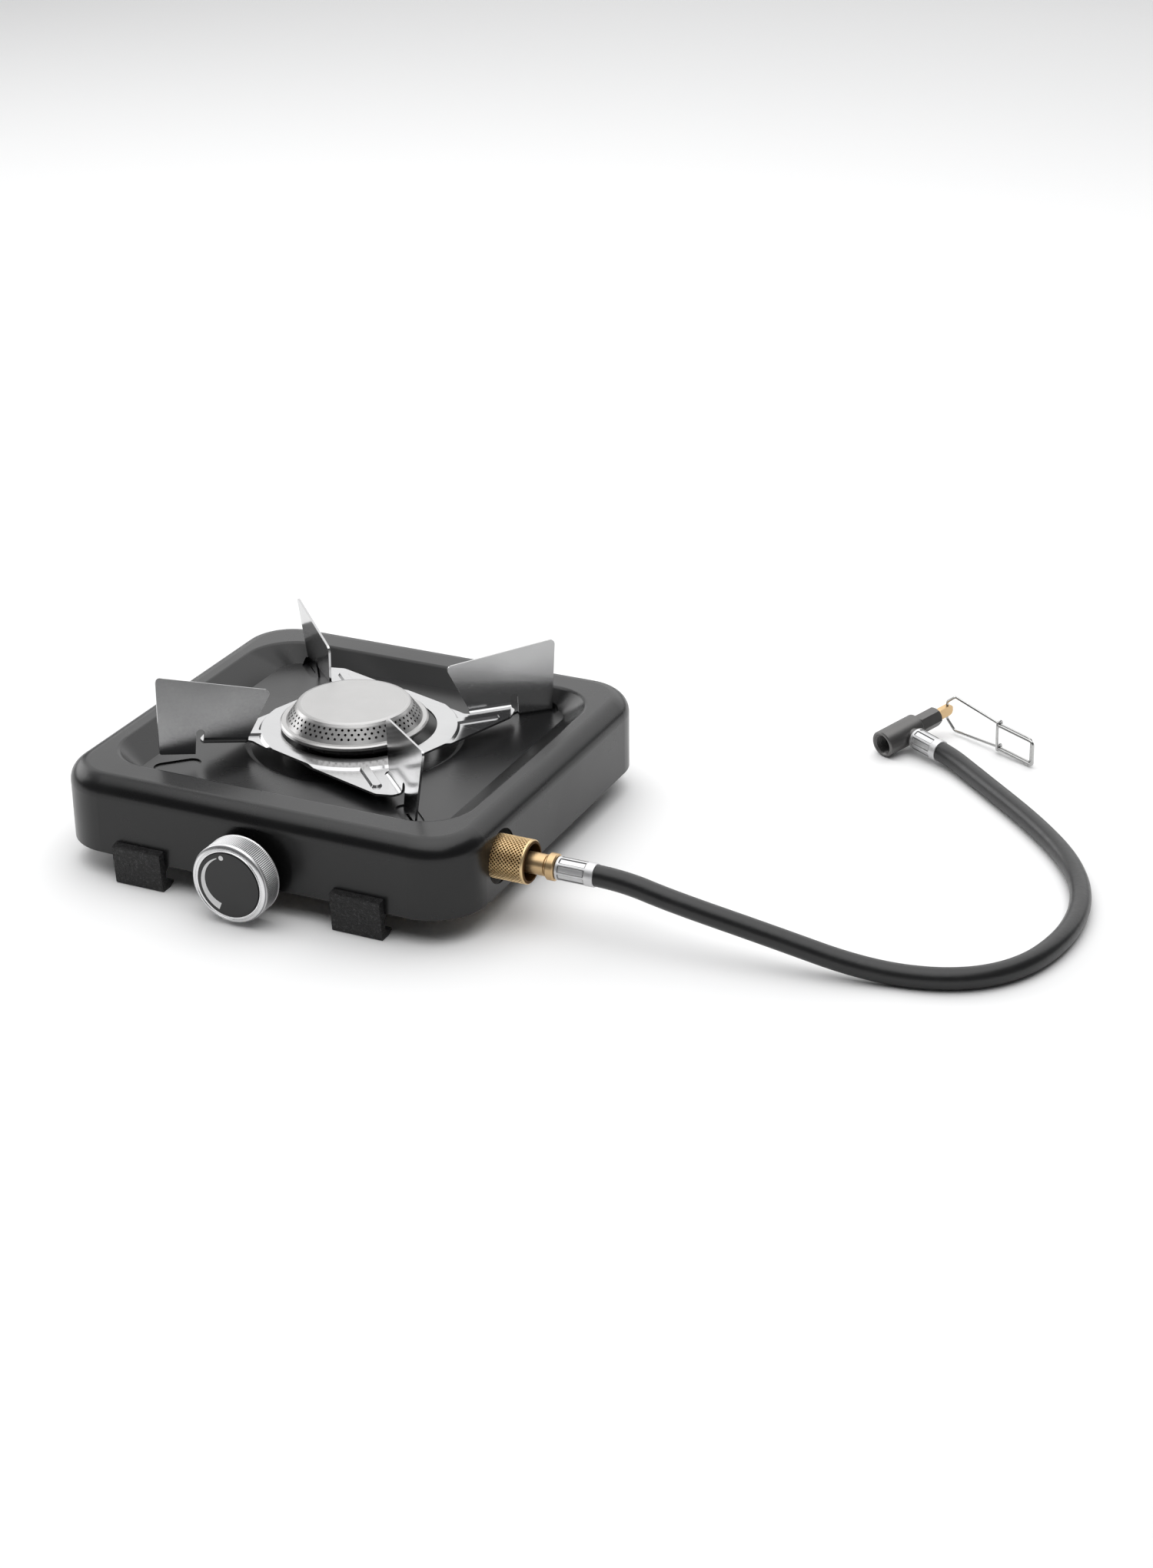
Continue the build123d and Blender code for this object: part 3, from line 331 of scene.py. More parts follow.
def makeAnodised():
    # dark anodised aluminium: an even satin grain with faint clouds
    look = anodised
    finish = Finish("darkAnodised")
    point = finish.place()
    grain = finish.noise(point, look["grainScale"], detail=2.0)
    cloud = finish.noise(point, look["cloudScale"])
    colour = finish.mixed(cloud, look["colour"], look["pale"])
    return finish.shade(Base_Color=colour, Metallic=look["metallic"],
                        Roughness=look["roughness"] + cloud * look["cloudRoughness"],
                        Normal=finish.bump(grain, look["grainDepth"], strength=0.5))


knobFace = {"colour": (0.020, 0.020, 0.0205), "pale": (0.028, 0.028, 0.0285), "roughness": 0.50,
            "grainScale": 2600.0, "grainDepth": 0.02 * mm, "cloudScale": 70.0, "cloudRoughness": 0.08}


def makeKnobFace():
    # matt black plastic with a fine moulded grain
    look = knobFace
    finish = Finish("knobFace")
    point = finish.place()
    grain = finish.noise(point, look["grainScale"], detail=2.0)
    cloud = finish.noise(point, look["cloudScale"])
    colour = finish.mixed(cloud, look["colour"], look["pale"])
    return finish.shade(Base_Color=colour, Roughness=look["roughness"] + cloud * look["cloudRoughness"],
                        Normal=finish.bump(grain, look["grainDepth"], strength=0.5))


knobMetal = {"colour": (0.84, 0.84, 0.845), "dull": (0.22, 0.22, 0.23), "roughness": 0.18,
             "axis": (0.0, 0.0, knobMouth[2] * mm),
             "ringScale": 5200.0, "ringShade": 0.25, "ringRoughness": 0.10, "ringDepth": 0.015 * mm,
             "cloudScale": 150.0, "cloudShade": 0.12, "cloudRoughness": 0.05,
             "groove": 21.0 * mm, "sideBand": 0.7 * mm, "sideEdge": 2500.0, "sideRoughness": 0.24,
             "valleyBand": 0.1 * mm, "valleyEdge": 3500.0}


def makeKnobMetal():
    # turned rings on its face, and painted shade between the ridges of its side
    look = knobMetal
    finish = Finish("knobMetal")
    point = finish.place(centre=look["axis"])
    x, _, z = finish.parts(point)
    radius = (x * x + z * z) ** 0.5
    rings = finish.toolLines(radius, look["ringScale"])
    cloud = finish.noise(point, look["cloudScale"])
    side = ((radius - look["groove"] + look["sideBand"]) * look["sideEdge"]).clipped()
    # painted shade in the valleys between the side's ridges
    valley = ((look["groove"] + look["valleyBand"] - radius) * look["valleyEdge"]).clipped() * side
    face = (rings * look["ringShade"] + cloud * look["cloudShade"]) * (1 - side)
    colour = finish.mixed(face + valley, look["colour"], look["dull"])
    roughness = look["roughness"] + rings * look["ringRoughness"] + cloud * look["cloudRoughness"]
    return finish.shade(Base_Color=colour, Metallic=1.0, Roughness=roughness + side * look["sideRoughness"],
                        Normal=finish.bump(rings, look["ringDepth"], strength=0.35))


hoseRubber = {"colour": (0.007, 0.007, 0.0075), "pale": (0.013, 0.013, 0.0135), "roughness": 0.35,
              "specular": 0.5, "mottleScale": 260.0, "mottleGloss": 0.2, "mottleDepth": 0.18 * mm,
              "grainScale": 2400.0, "grainDepth": 0.05 * mm, "dustScale": 30.0, "dustShare": 0.6}


def makeHoseRubber():
    # wrapped and cured rubber: a soft mottle, a little dust and a very fine grain
    look = hoseRubber
    finish = Finish("hoseRubber")
    point = finish.place()
    mottle = finish.noise(point, look["mottleScale"], detail=4.0, rough=0.6, distortion=0.8)
    grain = finish.noise(point, look["grainScale"], detail=2.0)
    dust = finish.noise(point, look["dustScale"])
    colour = finish.mixed(shared(dust, mottle, look["dustShare"]), look["colour"], look["pale"])
    normal = finish.bump(grain, look["grainDepth"], strength=0.5,
                         after=finish.bump(mottle, look["mottleDepth"], strength=0.5))
    roughness = look["roughness"] + (mottle - 0.5) * look["mottleGloss"]
    return finish.shade(Base_Color=colour, Roughness=roughness, Normal=normal,
                        Specular_IOR_Level=look["specular"])


footRubber = {"colour": (0.004, 0.004, 0.0042), "pale": (0.055, 0.055, 0.056), "roughness": 0.42,
              "pebbleScale": 1500.0, "pebbleDepth": 0.45 * mm,
              "coarseScale": 480.0, "coarseDepth": 1.6 * mm, "coarseRoughness": 0.15,
              "fleckScale": 700.0, "fleckAbove": 0.54, "fleckEdge": 8.0}


def makeFootRubber():
    # spark-eroded mould texture: a coarse relief under fine pebbles, with pale flecks
    look = footRubber
    finish = Finish("footRubber")
    point = finish.place()
    pebble = finish.node("ShaderNodeTexVoronoi", {"feature": "F1", "distance": "EUCLIDEAN"},
                         {"Vector": point, "Scale": look["pebbleScale"]})
    coarse = finish.noise(point, look["coarseScale"], detail=4.0, rough=0.7)
    speckle = finish.noise(point, look["fleckScale"], rough=0.7)
    fleck = ((speckle - look["fleckAbove"]) * look["fleckEdge"]).clipped()
    colour = finish.mixed(fleck, look["colour"], look["pale"])
    normal = finish.bump(pebble, look["pebbleDepth"], strength=0.9,
                         after=finish.bump(coarse, look["coarseDepth"], strength=1.0))
    return finish.shade(Base_Color=colour, Roughness=look["roughness"] + coarse * look["coarseRoughness"],
                        Normal=normal)


sealRubber = {"colour": (0.015, 0.015, 0.016), "pale": (0.03, 0.03, 0.03), "roughness": 0.45,
              "cloudScale": 500.0, "cloudRoughness": 0.2, "cloudDepth": 0.04 * mm}


def makeSealRubber():
    # soft black rubber with a slightly uneven skin
    look = sealRubber
    finish = Finish("sealRubber")
    cloud = finish.noise(finish.place(), look["cloudScale"])
    colour = finish.mixed(cloud, look["colour"], look["pale"])
    return finish.shade(Base_Color=colour, Roughness=look["roughness"] + cloud * look["cloudRoughness"],
                        Normal=finish.bump(cloud, look["cloudDepth"], strength=0.5))


wireSteel = {"colour": (0.56, 0.56, 0.555), "dull": (0.40, 0.40, 0.395), "roughness": 0.20,
             "drawnScale": 900.0, "drawnRoughness": 0.12, "drawnDepth": 0.01 * mm}


def makeWireSteel():
    # drawn wire with small uneven marks of the die
    look = wireSteel
    finish = Finish("wireSteel")
    drawn = finish.noise(finish.place(), look["drawnScale"])
    colour = finish.mixed(drawn, look["colour"], look["dull"])
    return finish.shade(Base_Color=colour, Metallic=1.0,
                        Roughness=look["roughness"] + drawn * look["drawnRoughness"],
                        Normal=finish.bump(drawn, look["drawnDepth"], strength=0.4))


markPaint = {"colour": (0.78, 0.78, 0.78), "thin": (0.70, 0.70, 0.70), "roughness": 0.38,
             "grainScale": 1600.0, "grainRoughness": 0.1, "grainDepth": 0.01 * mm}


def makeMarkPaint():
    # pale printed paint, a little thinner in places
    look = markPaint
    finish = Finish("markPaint")
    grain = finish.noise(finish.place(), look["grainScale"], detail=2.0)
    colour = finish.mixed(grain, look["colour"], look["thin"])
    return finish.shade(Base_Color=colour, Roughness=look["roughness"] + grain * look["grainRoughness"],
                        Normal=finish.bump(grain, look["grainDepth"], strength=0.4))


finishes = {
    "powderCoat": makePowderCoat(),
    "brightSheet": makeBrightSheet(),
    "burnerSteel": makeBurnerSteel(),
    "castAlloy": makeCastAlloy(),
    "platedSteel": makePlatedSteel(),
    "brass": makeBrass("turnedBrass"),
    "knurledBrass": makeBrass("knurledBrass", knurled=True),
    "ferruleMetal": makeFerruleMetal(),
    "anodised": makeAnodised(),
    "knobFace": makeKnobFace(),
    "knobMetal": makeKnobMetal(),
    "hoseRubber": makeHoseRubber(),
    "footRubber": makeFootRubber(),
    "sealRubber": makeSealRubber(),
    "wireSteel": makeWireSteel(),
    "markPaint": makeMarkPaint(),
}

nodeFinish = {
    "powderCoat": ["body_shell"],
    "brightSheet": ["pan_support", "inlet_bracket"],
    "burnerSteel": ["burner_cap"],
    "castAlloy": ["burner_bowl", "mixing_tube", "gas_valve_body"],
    "platedSteel": ["burner_screws", "gas_valve_nut", "gas_pipe", "inlet_nut", "opening_pin"],
    "brass": ["jet", "gas_valve_spindle", "pipe_nut_valve", "pipe_nut_inlet", "inlet_fitting",
              "union_collar", "hose_tail", "valve_stem"],
    "ferruleMetal": ["ferrule_near", "ferrule_far"],
    "anodised": ["cartridge_valve", "gland_nut"],
    "knobFace": ["knob_core"],
    "knobMetal": ["knob_ring"],
    "hoseRubber": ["hose"],
    "footRubber": ["foot_front_left", "foot_front_right", "foot_rear_left", "foot_rear_right"],
    "sealRubber": ["cartridge_seal"],
    "wireSteel": ["wire_handle", "handle_slider"],
}
for finishName, members in nodeFinish.items():
    for member in members:
        nodes[member].data.materials.clear()
        nodes[member].data.materials.append(finishes[finishName])


touching = 0.02  # mm; a point nearer than this to the outside radius lies on it


def placement(origin, outward, sideways):
    # three directions square to each other: sideways, the third one, and outward
    third = np.cross(outward, sideways)
    return np.array(origin, float), np.array([sideways, third, outward], float)


def meshPiece(name, vertices, faces, finishName, body, stands, sharp):
    # one piece from vertices in mm; edges sharper than the angle in degrees stay hard
    mesh = bpy.data.meshes.new(name)
    mesh.from_pydata((vertices * mm).tolist(), [], faces.tolist())
    mesh.validate()
    mesh.update()
    mesh.polygons.foreach_set("use_smooth", np.ones(len(mesh.polygons), bool))
    mesh.set_sharp_from_angle(angle=math.radians(sharp))
    piece = bpy.data.objects.new(name, mesh)
    bpy.context.scene.collection.objects.link(piece)
    mesh.materials.append(finishes[finishName])
    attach(piece, body)
    if stands:
        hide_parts(*stands)
    return piece


def gridPiece(name, points, finishName, body, stands=(), sharp=35.0, wrapRows=False, tone=None):
    # points is (rows, columns, 3) in mm; columns always close into a ring, and rows do when wrapRows is set
    rows, columns, _ = points.shape
    down = np.arange(rows if wrapRows else rows - 1)
    row, column = np.meshgrid(down, np.arange(columns), indexing="ij")
    nextRow = (row + 1) % rows
    nextColumn = (column + 1) % columns
    corners = [row * columns + column, row * columns + nextColumn,
               nextRow * columns + nextColumn, nextRow * columns + column]
    faces = np.stack(corners, -1).reshape(-1, 4)
    piece = meshPiece(name, points.reshape(-1, 3), faces, finishName, body, stands, sharp)
    if tone is not None:
        shade = piece.data.attributes.new("tone", "FLOAT", "POINT")
        shade.data.foreach_set("value", tone.reshape(-1).astype(np.float32))
    return piece


def smoothStep(value, low, high):
    # nothing below low, one above high, an S between
    t = np.clip((value - low) / (high - low), 0.0, 1.0)
    return t * t * (3 - 2 * t)


def densified(profile, outside, step, coarse=1.5):
    # a closed profile with extra points: fine steps along the outside radius and coarse ones elsewhere
    found = []
    for (r0, z0), (r1, z1) in zip(profile, profile[1:] + profile[:1]):
        longest = step if min(r0, r1) > outside - touching else coarse
        count = max(1, int(math.ceil(math.hypot(r1 - r0, z1 - z0) / longest)))
        share = np.arange(count) / count
        found.append(np.stack([r0 + (r1 - r0) * share, z0 + (z1 - z0) * share], -1))
    return np.concatenate(found)


def around(columns):
    # angles round a full turn
    return np.linspace(0, 2 * np.pi, columns, endpoint=False)


def turnedPoints(profile, columns, place, relief):
    # each profile point (radius, height) goes round the axis; relief lowers its radius by angle and height
    origin, axes = place
    radius = np.repeat(profile[:, :1], columns, 1)
    height = np.repeat(profile[:, 1:], columns, 1)
    turn = np.repeat(around(columns)[None, :], len(profile), 0)
    radius = radius - relief(turn, height, radius)
    local = np.stack([radius * np.cos(turn), radius * np.sin(turn), height], -1)
    return origin + local @ axes


def zigzag(turns):
    # one at whole turns and nothing half-way between, with straight slopes
    return np.abs(turns % 1.0 - 0.5) * 2


print("stage: union collar")
inletPlace = placement(inletMouth, (1, 0, 0), (0, 1, 0))
unionCollar = {"radius": 11.3, "back": -3.5, "length": 20.4, "skirtWall": 1.8, "thread": 9.0, "web": 3.0,
               "bore": 8.6, "tailBore": 5.6, "bevel": 0.8, "grooves": 34, "pitch": 2.0, "depth": 0.80,
               "crest": 0.22, "slope": 0.34, "columnsPerGroove": 16, "rowStep": 0.16,
               "plainBack": (0.9, 1.7), "plainFront": (1.4, 2.1)}  # from each end to where the knurl rises


def diamondRelief(turn, height, radius):
    # two families of screw ridges cross, and a four-sided pit lies between them; it begins where the
    # smaller of their zigzags passes the crest's share and is at its full depth one slope further
    s = unionCollar
    start = s["back"]
    end = start + s["length"]
    alongPitch = (height - start) / s["pitch"]
    aroundPitch = turn / (2 * np.pi) * s["grooves"]
    ridges = np.minimum(zigzag(aroundPitch + alongPitch), zigzag(aroundPitch - alongPitch))
    pit = np.clip((ridges - s["crest"]) / s["slope"], 0, 1)
    zone = smoothStep(height, start + s["plainBack"][0], start + s["plainBack"][1])
    zone = zone * (1 - smoothStep(height, end - s["plainFront"][1], end - s["plainFront"][0]))
    outside = radius > s["radius"] - touching
    return s["depth"] * pit * zone * outside


def buildUnionCollar():
    s = unionCollar
    back, front = s["back"], s["back"] + s["length"]
    web = back + s["thread"]
    skirt = s["radius"] - s["skirtWall"]
    # from the thread's mouth over the knurled outside, and back through the skirt and the tail's bore
    profile = [(s["bore"], back), (s["radius"] - s["bevel"], back), (s["radius"], back + s["bevel"]),
               (s["radius"], front - s["bevel"]), (s["radius"] - s["bevel"], front),
               (skirt, front), (skirt, web + s["web"]),
               (s["tailBore"], web + s["web"]), (s["tailBore"], web), (s["bore"], web)]
    rows = densified(profile, s["radius"], s["rowStep"])
    points = turnedPoints(rows, s["grooves"] * s["columnsPerGroove"], inletPlace, diamondRelief)
    gridPiece("unionCollar", points, "knurledBrass", "collar", ["union_collar"], wrapRows=True)


buildUnionCollar()

print("stage: ferrules")
cartridgeValve = {"x": 235.3, "y": 202.4 + footprintShift,
                  "heading": 64.0, "pitch": 7.0,  # degrees from X towards Y, and up from the ground
                  "radius": 7.6, "cupLength": 18.4, "branch": 27.4, "hoseRun": 22.6, "hoseHeight": 5.6}


def valvePlaces():
    # the cup's lower edge stands on the ground; the branch leaves square to the axis and sinks to the hose
    s = cartridgeValve
    heading, pitch = math.radians(s["heading"]), math.radians(s["pitch"])
    level = math.cos(pitch)
    axis = np.array([level * math.cos(heading), level * math.sin(heading), math.sin(pitch)])
    centre = np.array([s["x"], s["y"], s["radius"] * level + s["cupLength"] * math.sin(pitch)])
    sideways = np.array([math.sin(heading), -math.cos(heading), 0.0])
    upright = -np.cross(axis, sideways)
    tilt = math.atan((centre[2] - s["hoseHeight"]) / (s["branch"] + s["hoseRun"]) / upright[2])
    return centre, axis, sideways * math.cos(tilt) - upright * math.sin(tilt)


valveCentre, valveAxis, branchAxis = valvePlaces()
branchPlace = placement(valveCentre, branchAxis, valveAxis)
crimpedFerrule = {"radius": 6.05, "bore": 2.95, "round": 0.8, "roundPoints": 6, "bevel": 0.3,
                  "panels": 8, "pressDepth": 0.4675, "flatten": 0.45, "windowEdge": 0.8,
                  "ribFoot": 0.24, "ribTop": 0.072,  # half widths, as shares of a panel
                  "columnsPerPanel": 40, "rowStep": 0.2, "sharp": 50.0}
ferrules = [
    # name, its CAD node, place, where it starts and ends, plain band at the start and at the end
    ("ferruleNear", "ferrule_near", inletPlace, 30.9, 51.6, 1.6, 4.6),
    ("ferruleFar", "ferrule_far", branchPlace, 8.4, cartridgeValve["branch"], 1.6, 4.0),
]


def buildFerrule(name, node, place, start, end, firstBand, lastBand):
    # a sleeve whose middle is pressed in by flat jaws, with a narrow rib left between two jaws
    s = crimpedFerrule
    r = s["radius"]

    def press(turn, height, radius):
        # zero on the ribs and end bands, one on the pressed flats
        panel = (turn / (2 * np.pi) * s["panels"]) % 1.0 - 0.5
        flat = 1 - smoothStep(np.abs(panel), 0.5 - s["ribFoot"], 0.5 - s["ribTop"])
        window = smoothStep(height, start + firstBand, start + firstBand + s["windowEdge"])
        window = window * (1 - smoothStep(height, end - lastBand - s["windowEdge"], end - lastBand))
        return panel, flat * window * (radius > r - touching)

    def relief(turn, height, radius):
        # the press depth, and part of the way from the circle to the flat side of a polygon
        panel, pressed = press(turn, height, radius)
        half = np.pi / s["panels"]
        toFlat = (1 - np.cos(half) / np.cos(panel * 2 * half)) * r
        return (s["pressDepth"] + toFlat * s["flatten"]) * pressed

    bend = np.linspace(0, np.pi / 2, s["roundPoints"])
    rounded = [(r - s["round"] + s["round"] * math.sin(a), start + s["round"] - s["round"] * math.cos(a))
               for a in bend]
    profile = [(s["bore"], start)] + rounded
    profile += [(r, end - s["bevel"]), (r - s["bevel"], end), (s["bore"], end)]
    rows = densified(profile, r, s["rowStep"])
    columns = s["panels"] * s["columnsPerPanel"]
    points = turnedPoints(rows, columns, place, relief)
    pressed = press(around(columns)[None, :], rows[:, 1:], rows[:, :1])[1]
    # painted shade: this tone marks the pressed slopes that the ferrule's finish paints dark
    slopes = 4 * pressed * (1 - pressed)  # one half-way down beside a rib, nothing on the ribs and flats
    gridPiece(name, points, "ferruleMetal", "stove", [node], sharp=s["sharp"],
              wrapRows=True, tone=slopes)


for ferrule in ferrules:
    buildFerrule(*ferrule)

print("stage: hose")
hoseRoute = {"diameter": 11.0, "lastRun": 8.63, "points": [
    (169.1, -57.95, 33.0), (183.5, -57.95, 33.0), (209.0, -59.55, 28.4), (256.3, -55.4, 18.8),
    (305.4, -47.1, 5.5), (345.2, -40.2, 5.5), (371.1, -17.3, 5.5), (382.1, 20.5, 5.5),
    (380.4, 59.9, 5.5), (365.8, 96.2, 5.5), (337.2, 132.2, 5.5), (284.9, 180.8, 5.5)]}


def buildHose():
    # a round section along a smooth curve that follows the route's points and ends straight in the far
    # ferrule
    end = valveCentre + branchAxis * cartridgeValve["branch"]
    approach = end + branchAxis * hoseRoute["lastRun"]
    points = [Vector(p) * mm for p in hoseRoute["points"]] + [Vector(approach) * mm, Vector(end) * mm]
    line = bpy.data.curves.new("gasHose", "CURVE")
    line.dimensions = "3D"
    spline = line.splines.new("NURBS")
    spline.points.add(len(points) - 1)
    for control, point in zip(spline.points, points):
        control.co = (*point, 1.0)
    spline.order_u = 3
    spline.use_endpoint_u = True
    spline.use_smooth = True
    line.resolution_u = 24
    line.bevel_depth = hoseRoute["diameter"] / 2 * mm
    line.bevel_resolution = 8
    line.use_fill_caps = True
    hose = bpy.data.objects.new("gasHose", line)
    bpy.context.scene.collection.objects.link(hose)
    line.materials.append(finishes["hoseRubber"])
    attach(hose, "stove")
    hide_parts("hose")
    return hose


gasHose = buildHose()

print("stage: knob")
knobPlace = placement(knobMouth, (0, -1, 0), (1, 0, 0))
knob = {"radius": 21.2, "face": 17.25, "wall": 2.2, "lip": 1.1,
        "back": 6.6, "out": 20.3, "plate": 20.7,  # the ring's two ends and its plate, from the body's front
        "ridges": 138, "ridgeDepth": 0.42, "ridgeShare": 0.75, "rowPitch": 0.95,
        "columnsPerRidge": 6, "rowStep": 0.15,
        "plainBack": (0.8, 1.3), "plainFront": (2.4, 3.0)}  # from each end to where the ridges rise


def ridgeRelief(turn, height, radius):
    # straight ridges along the knob's axis, cut across by shallow rings
    s = knob
    ridges = zigzag(turn / (2 * np.pi) * s["ridges"])
    rings = zigzag(height / s["rowPitch"])
    zone = smoothStep(height, s["back"] + s["plainBack"][0], s["back"] + s["plainBack"][1])
    zone = zone * (1 - smoothStep(height, s["out"] - s["plainFront"][1], s["out"] - s["plainFront"][0]))
    outside = radius > s["radius"] - touching
    return s["ridgeDepth"] * shared(ridges, rings, s["ridgeShare"]) * zone * outside


def buildKnobRing():
    s = knob
    front = s["out"]
    lip = s["face"] + s["lip"]
    inside = s["radius"] - s["wall"]
    profile = [(s["face"], front - 0.9), (s["face"] + 0.35, front - 0.12), (s["face"] + 0.6, front),
               (lip, front), (lip + 0.2, front - 0.4),  # from the lip into its groove
               (lip + 0.6, front - 0.5), (lip + 0.85, front - 0.22),  # and out of it
               (s["radius"] - 0.9, front - 0.5), (s["radius"] - 0.25, front - 1.0),  # rounded rim
               (s["radius"], front - 1.7), (s["radius"], s["back"] + 0.3),  # ridged side
               (s["radius"] - 0.3, s["back"]), (inside, s["back"]), (inside, front - 0.8)]
    rows = densified(profile, s["radius"], s["rowStep"])
    points = turnedPoints(rows, s["ridges"] * s["columnsPerRidge"], knobPlace, ridgeRelief)
    gridPiece("knobRing", points, "knobMetal", "knob", ["knob_ring"], wrapRows=True)


buildKnobRing()

knobMarks = {"lift": 0.03, "sunk": 0.05, "outer": 15.5,
             "from": 112.0, "to": 248.0, "dotAngle": 102.0,  # degrees, counter-clockwise from the right
             "thin": 0.35, "thick": 3.9, "widening": 0.85, "thinEndIn": 0.5, "arcPoints": 61,
             "dotAt": 14.7, "dotRadius": 1.3, "dotSides": 40}


def buildKnobArc():
    # an arc as a thin plate on the knob's face: its width grows with a power of the way along it, and its
    # outer edge comes in towards the thin end with the square of the way back
    s = knobMarks
    t = np.linspace(0, 1, s["arcPoints"])
    angle = np.radians(s["from"] + (s["to"] - s["from"]) * t)
    outer = s["outer"] - s["thinEndIn"] * (1 - t) ** 2
    inner = outer - (s["thin"] + (s["thick"] - s["thin"]) * t ** s["widening"])
    origin, axes = knobPlace
    sections = []
    for radius, lift in ((outer, -s["sunk"]), (outer, s["lift"]), (inner, s["lift"]), (inner, -s["sunk"])):
        height = np.full_like(angle, knob["plate"] + lift)
        local = np.stack([radius * np.cos(angle), radius * np.sin(angle), height], -1)
        sections.append(origin + local @ axes)
    gridPiece("knobArc", np.stack(sections, 1), "markPaint", "knob")


def buildKnobDot():
    # a round dot, as a thin plate before the arc's thin end
    s = knobMarks
    angle = math.radians(s["dotAngle"])
    centre = np.array([s["dotAt"] * math.cos(angle), s["dotAt"] * math.sin(angle), 0.0])
    turn = around(s["dotSides"])
    low, high = knob["plate"] - s["sunk"], knob["plate"] + s["lift"]
    rings = [(s["dotRadius"], low), (s["dotRadius"], high), (0.001, high)]  # the last one is its middle
    dot = [centre + np.stack([r * np.cos(turn), r * np.sin(turn), np.full_like(turn, z)], -1)
           for r, z in rings]
    origin, axes = knobPlace
    gridPiece("knobDot", origin + np.stack(dot) @ axes, "markPaint", "knob")


buildKnobArc()
buildKnobDot()

print("stage: cartridge thread")
cupThread = {"outer": 5.5, "crest": 5.05, "rooted": 0.04, "from": -17.8, "to": -10.6,
             "pitch": 0.907, "foot": 0.42, "top": 0.0924,  # half widths, as shares of the pitch
             "fade": 2.0, "stepsPerTurn": 40, "sharp": 20.0}


def buildCupThread():
    # a screw ridge inside the cup: its section slides along the axis as it goes round, and sinks into the
    # wall at both ends
    s = cupThread
    turns = (s["to"] - s["from"]) / s["pitch"]
    angle = np.linspace(0, turns * 2 * np.pi, int(turns * s["stepsPerTurn"]))
    fade = smoothStep(angle, 0, s["fade"]) * (1 - smoothStep(angle, angle[-1] - s["fade"], angle[-1]))
    crest = s["outer"] - (s["outer"] - s["crest"]) * fade
    root = np.full_like(angle, s["outer"] + s["rooted"])
    height = s["from"] + angle / (2 * np.pi) * s["pitch"]
    foot, top = s["pitch"] * s["foot"], s["pitch"] * s["top"]
    section = [(root, height - foot), (crest, height - top), (crest, height + top), (root, height + foot)]
    origin, axes = placement(valveCentre, valveAxis, branchAxis)
    grid = np.stack([np.stack([r * np.cos(angle), r * np.sin(angle), z], -1) for r, z in section], 1)
    gridPiece("cupThread", origin + grid @ axes, "anodised", "stove", sharp=s["sharp"])


buildCupThread()

print("stage: camera and light")
studioCamera = {"azimuth": 25.1022, "elevation": 25.5209, "roll": -0.5343,
                "distance": 1519.65, "across": -119.172, "up": -20.134, "clip": (0.01, 30.0),
                "focal": 3710.11, "middle": (759.59, 1016.53), "frame": (1500.0, 2040.0), "sensor": 36.0}


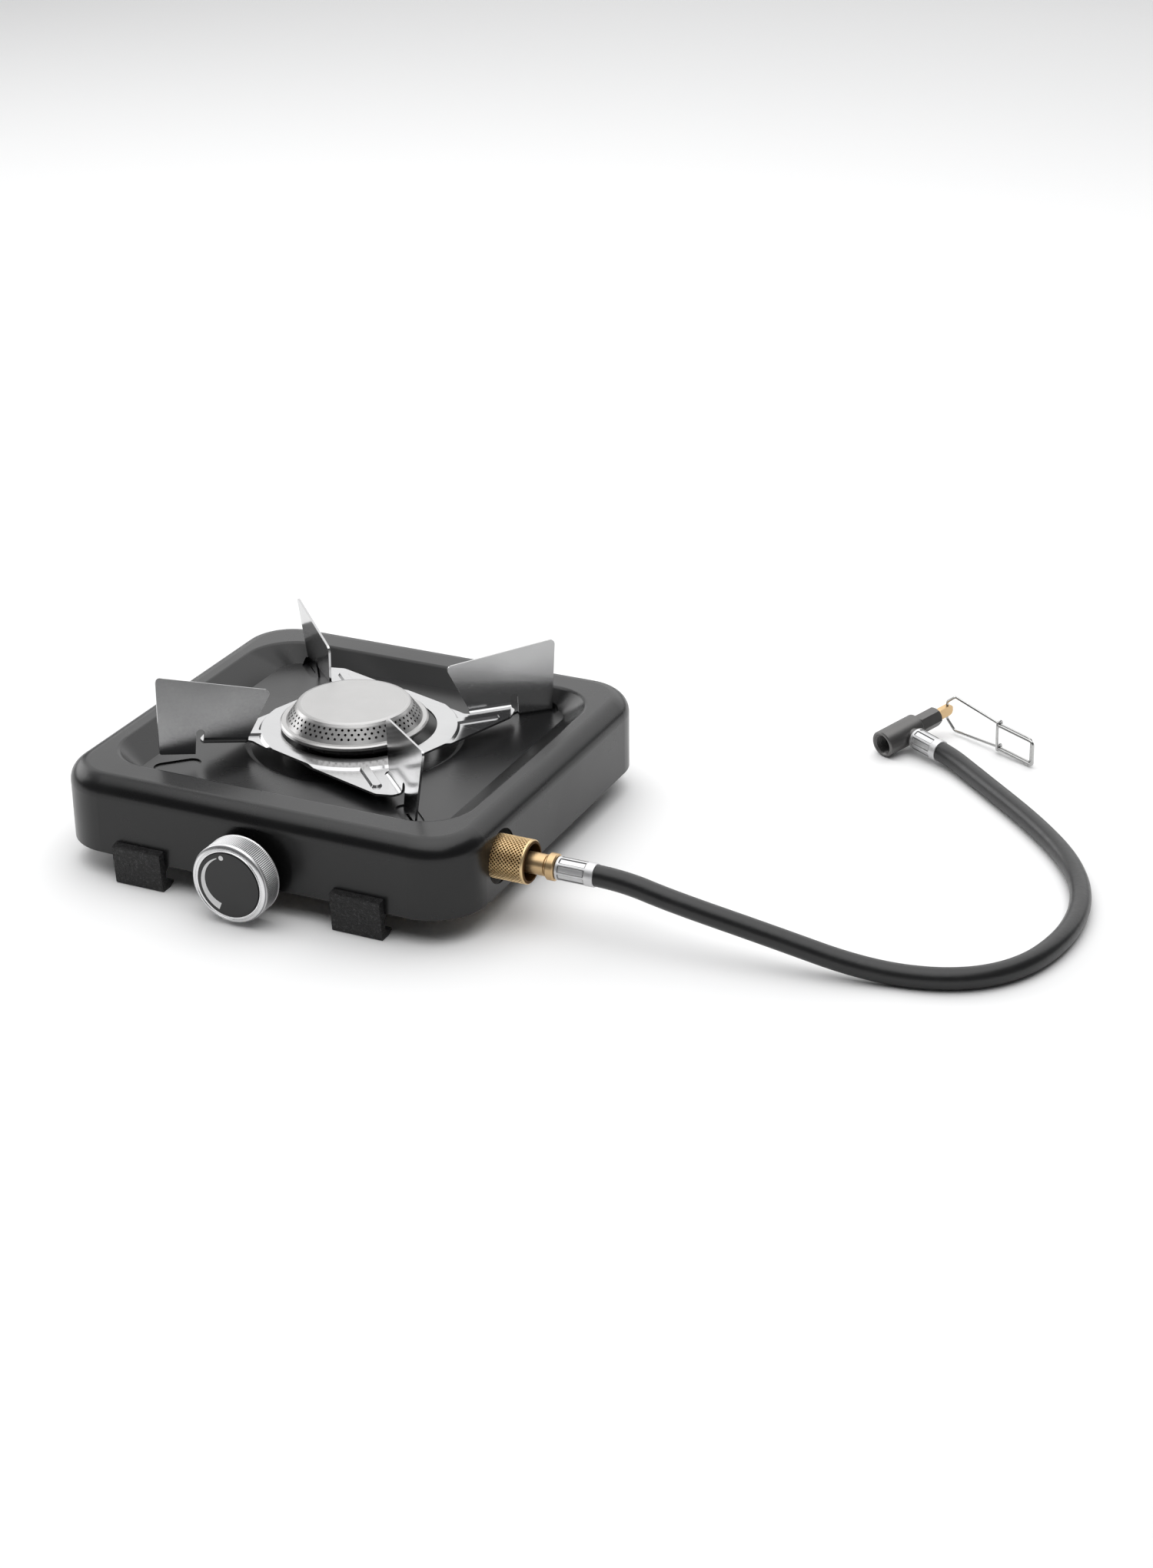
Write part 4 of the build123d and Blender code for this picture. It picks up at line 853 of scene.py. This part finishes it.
def buildCamera():
    # placed from the body's middle by its azimuth, elevation and roll in degrees and by its distance,
    # then moved across and up in mm; focal length, middle and frame share one unit of their own
    v = studioCamera
    azimuth, elevation, roll = (math.radians(v[turn]) for turn in ("azimuth", "elevation", "roll"))
    frameWidth, frameHeight = v["frame"]
    back = Vector((math.sin(azimuth) * math.cos(elevation), -math.cos(azimuth) * math.cos(elevation),
                   math.sin(elevation)))
    right = Vector((math.cos(azimuth), math.sin(azimuth), 0.0))
    up = back.cross(right)
    right, up = (right * math.cos(roll) + up * math.sin(roll),
                 up * math.cos(roll) - right * math.sin(roll))
    bodyMiddle = Vector((0, footprintShift * mm, 0))
    where = (back * v["distance"] - right * v["across"] - up * v["up"]) * mm + bodyMiddle
    data = bpy.data.cameras.new("studioCamera")
    data.sensor_width = v["sensor"]
    data.lens = v["focal"] / frameHeight * v["sensor"]
    data.shift_x = (frameWidth / 2 - v["middle"][0]) / frameHeight
    data.shift_y = (v["middle"][1] - frameHeight / 2) / frameHeight
    data.clip_start, data.clip_end = v["clip"]
    camera = bpy.data.objects.new("studioCamera", data)
    camera.matrix_world = Matrix.Translation(where) @ Matrix((right, up, back)).transposed().to_4x4()
    bpy.context.scene.collection.objects.link(camera)
    bpy.context.scene.camera = camera


buildCamera()

studio = {"floor": (0.92, 0.92, 0.92), "floorRoughness": 0.85, "floorSpecular": 0.1, "floorReach": 8,
          "world": (0.97, 0.98, 1.0), "worldStrength": 0.12}
softboxes = {
    # metres, watts, and the spread of the light in degrees
    "overhead": {"place": (0.1, 0.05, 1.6), "aim": (0.1, 0.05, 0.0), "size": (2.3, 2.7), "power": 24.0,
                 "spread": 130.0},
    "rear": {"place": (-0.15, 2.6, 1.4), "aim": (0.0, 0.0, 0.1), "size": (4.9, 2.3), "power": 40.0,
             "spread": 165.0},
    "left": {"place": (-2.4, 0.5, 1.1), "aim": (0.0, 0.0, 0.05), "size": (2.4, 1.5), "power": 12.0,
             "spread": 110.0},
}


def buildFloor():
    reach = studio["floorReach"]
    data = bpy.data.meshes.new("paleFloor")
    corners = [(-reach, -reach, 0), (reach, -reach, 0), (reach, reach, 0), (-reach, reach, 0)]
    data.from_pydata(corners, [], [(0, 1, 2, 3)])
    floor = bpy.data.objects.new("paleFloor", data)
    bpy.context.scene.collection.objects.link(floor)
    finish = Finish("paleFloor").shade(Base_Color=studio["floor"], Roughness=studio["floorRoughness"],
                                       Specular_IOR_Level=studio["floorSpecular"])
    floor.data.materials.append(finish)


def buildLights():
    for name, s in softboxes.items():
        light = bpy.data.lights.new(name, "AREA")
        light.shape = "RECTANGLE"
        light.size, light.size_y = s["size"]
        light.energy = s["power"]
        light.spread = math.radians(s["spread"])
        lamp = bpy.data.objects.new(name, light)
        lamp.location = s["place"]
        lamp.rotation_euler = (Vector(s["aim"]) - Vector(s["place"])).to_track_quat("-Z", "Y").to_euler()
        bpy.context.scene.collection.objects.link(lamp)
    world = bpy.data.worlds.new("studioWorld")
    world.use_nodes = True
    background = world.node_tree.nodes["Background"]
    background.inputs["Color"].default_value = (*studio["world"], 1.0)
    background.inputs["Strength"].default_value = studio["worldStrength"]
    bpy.context.scene.world = world
    bpy.context.scene.view_settings.view_transform = "Standard"


buildFloor()
buildLights()
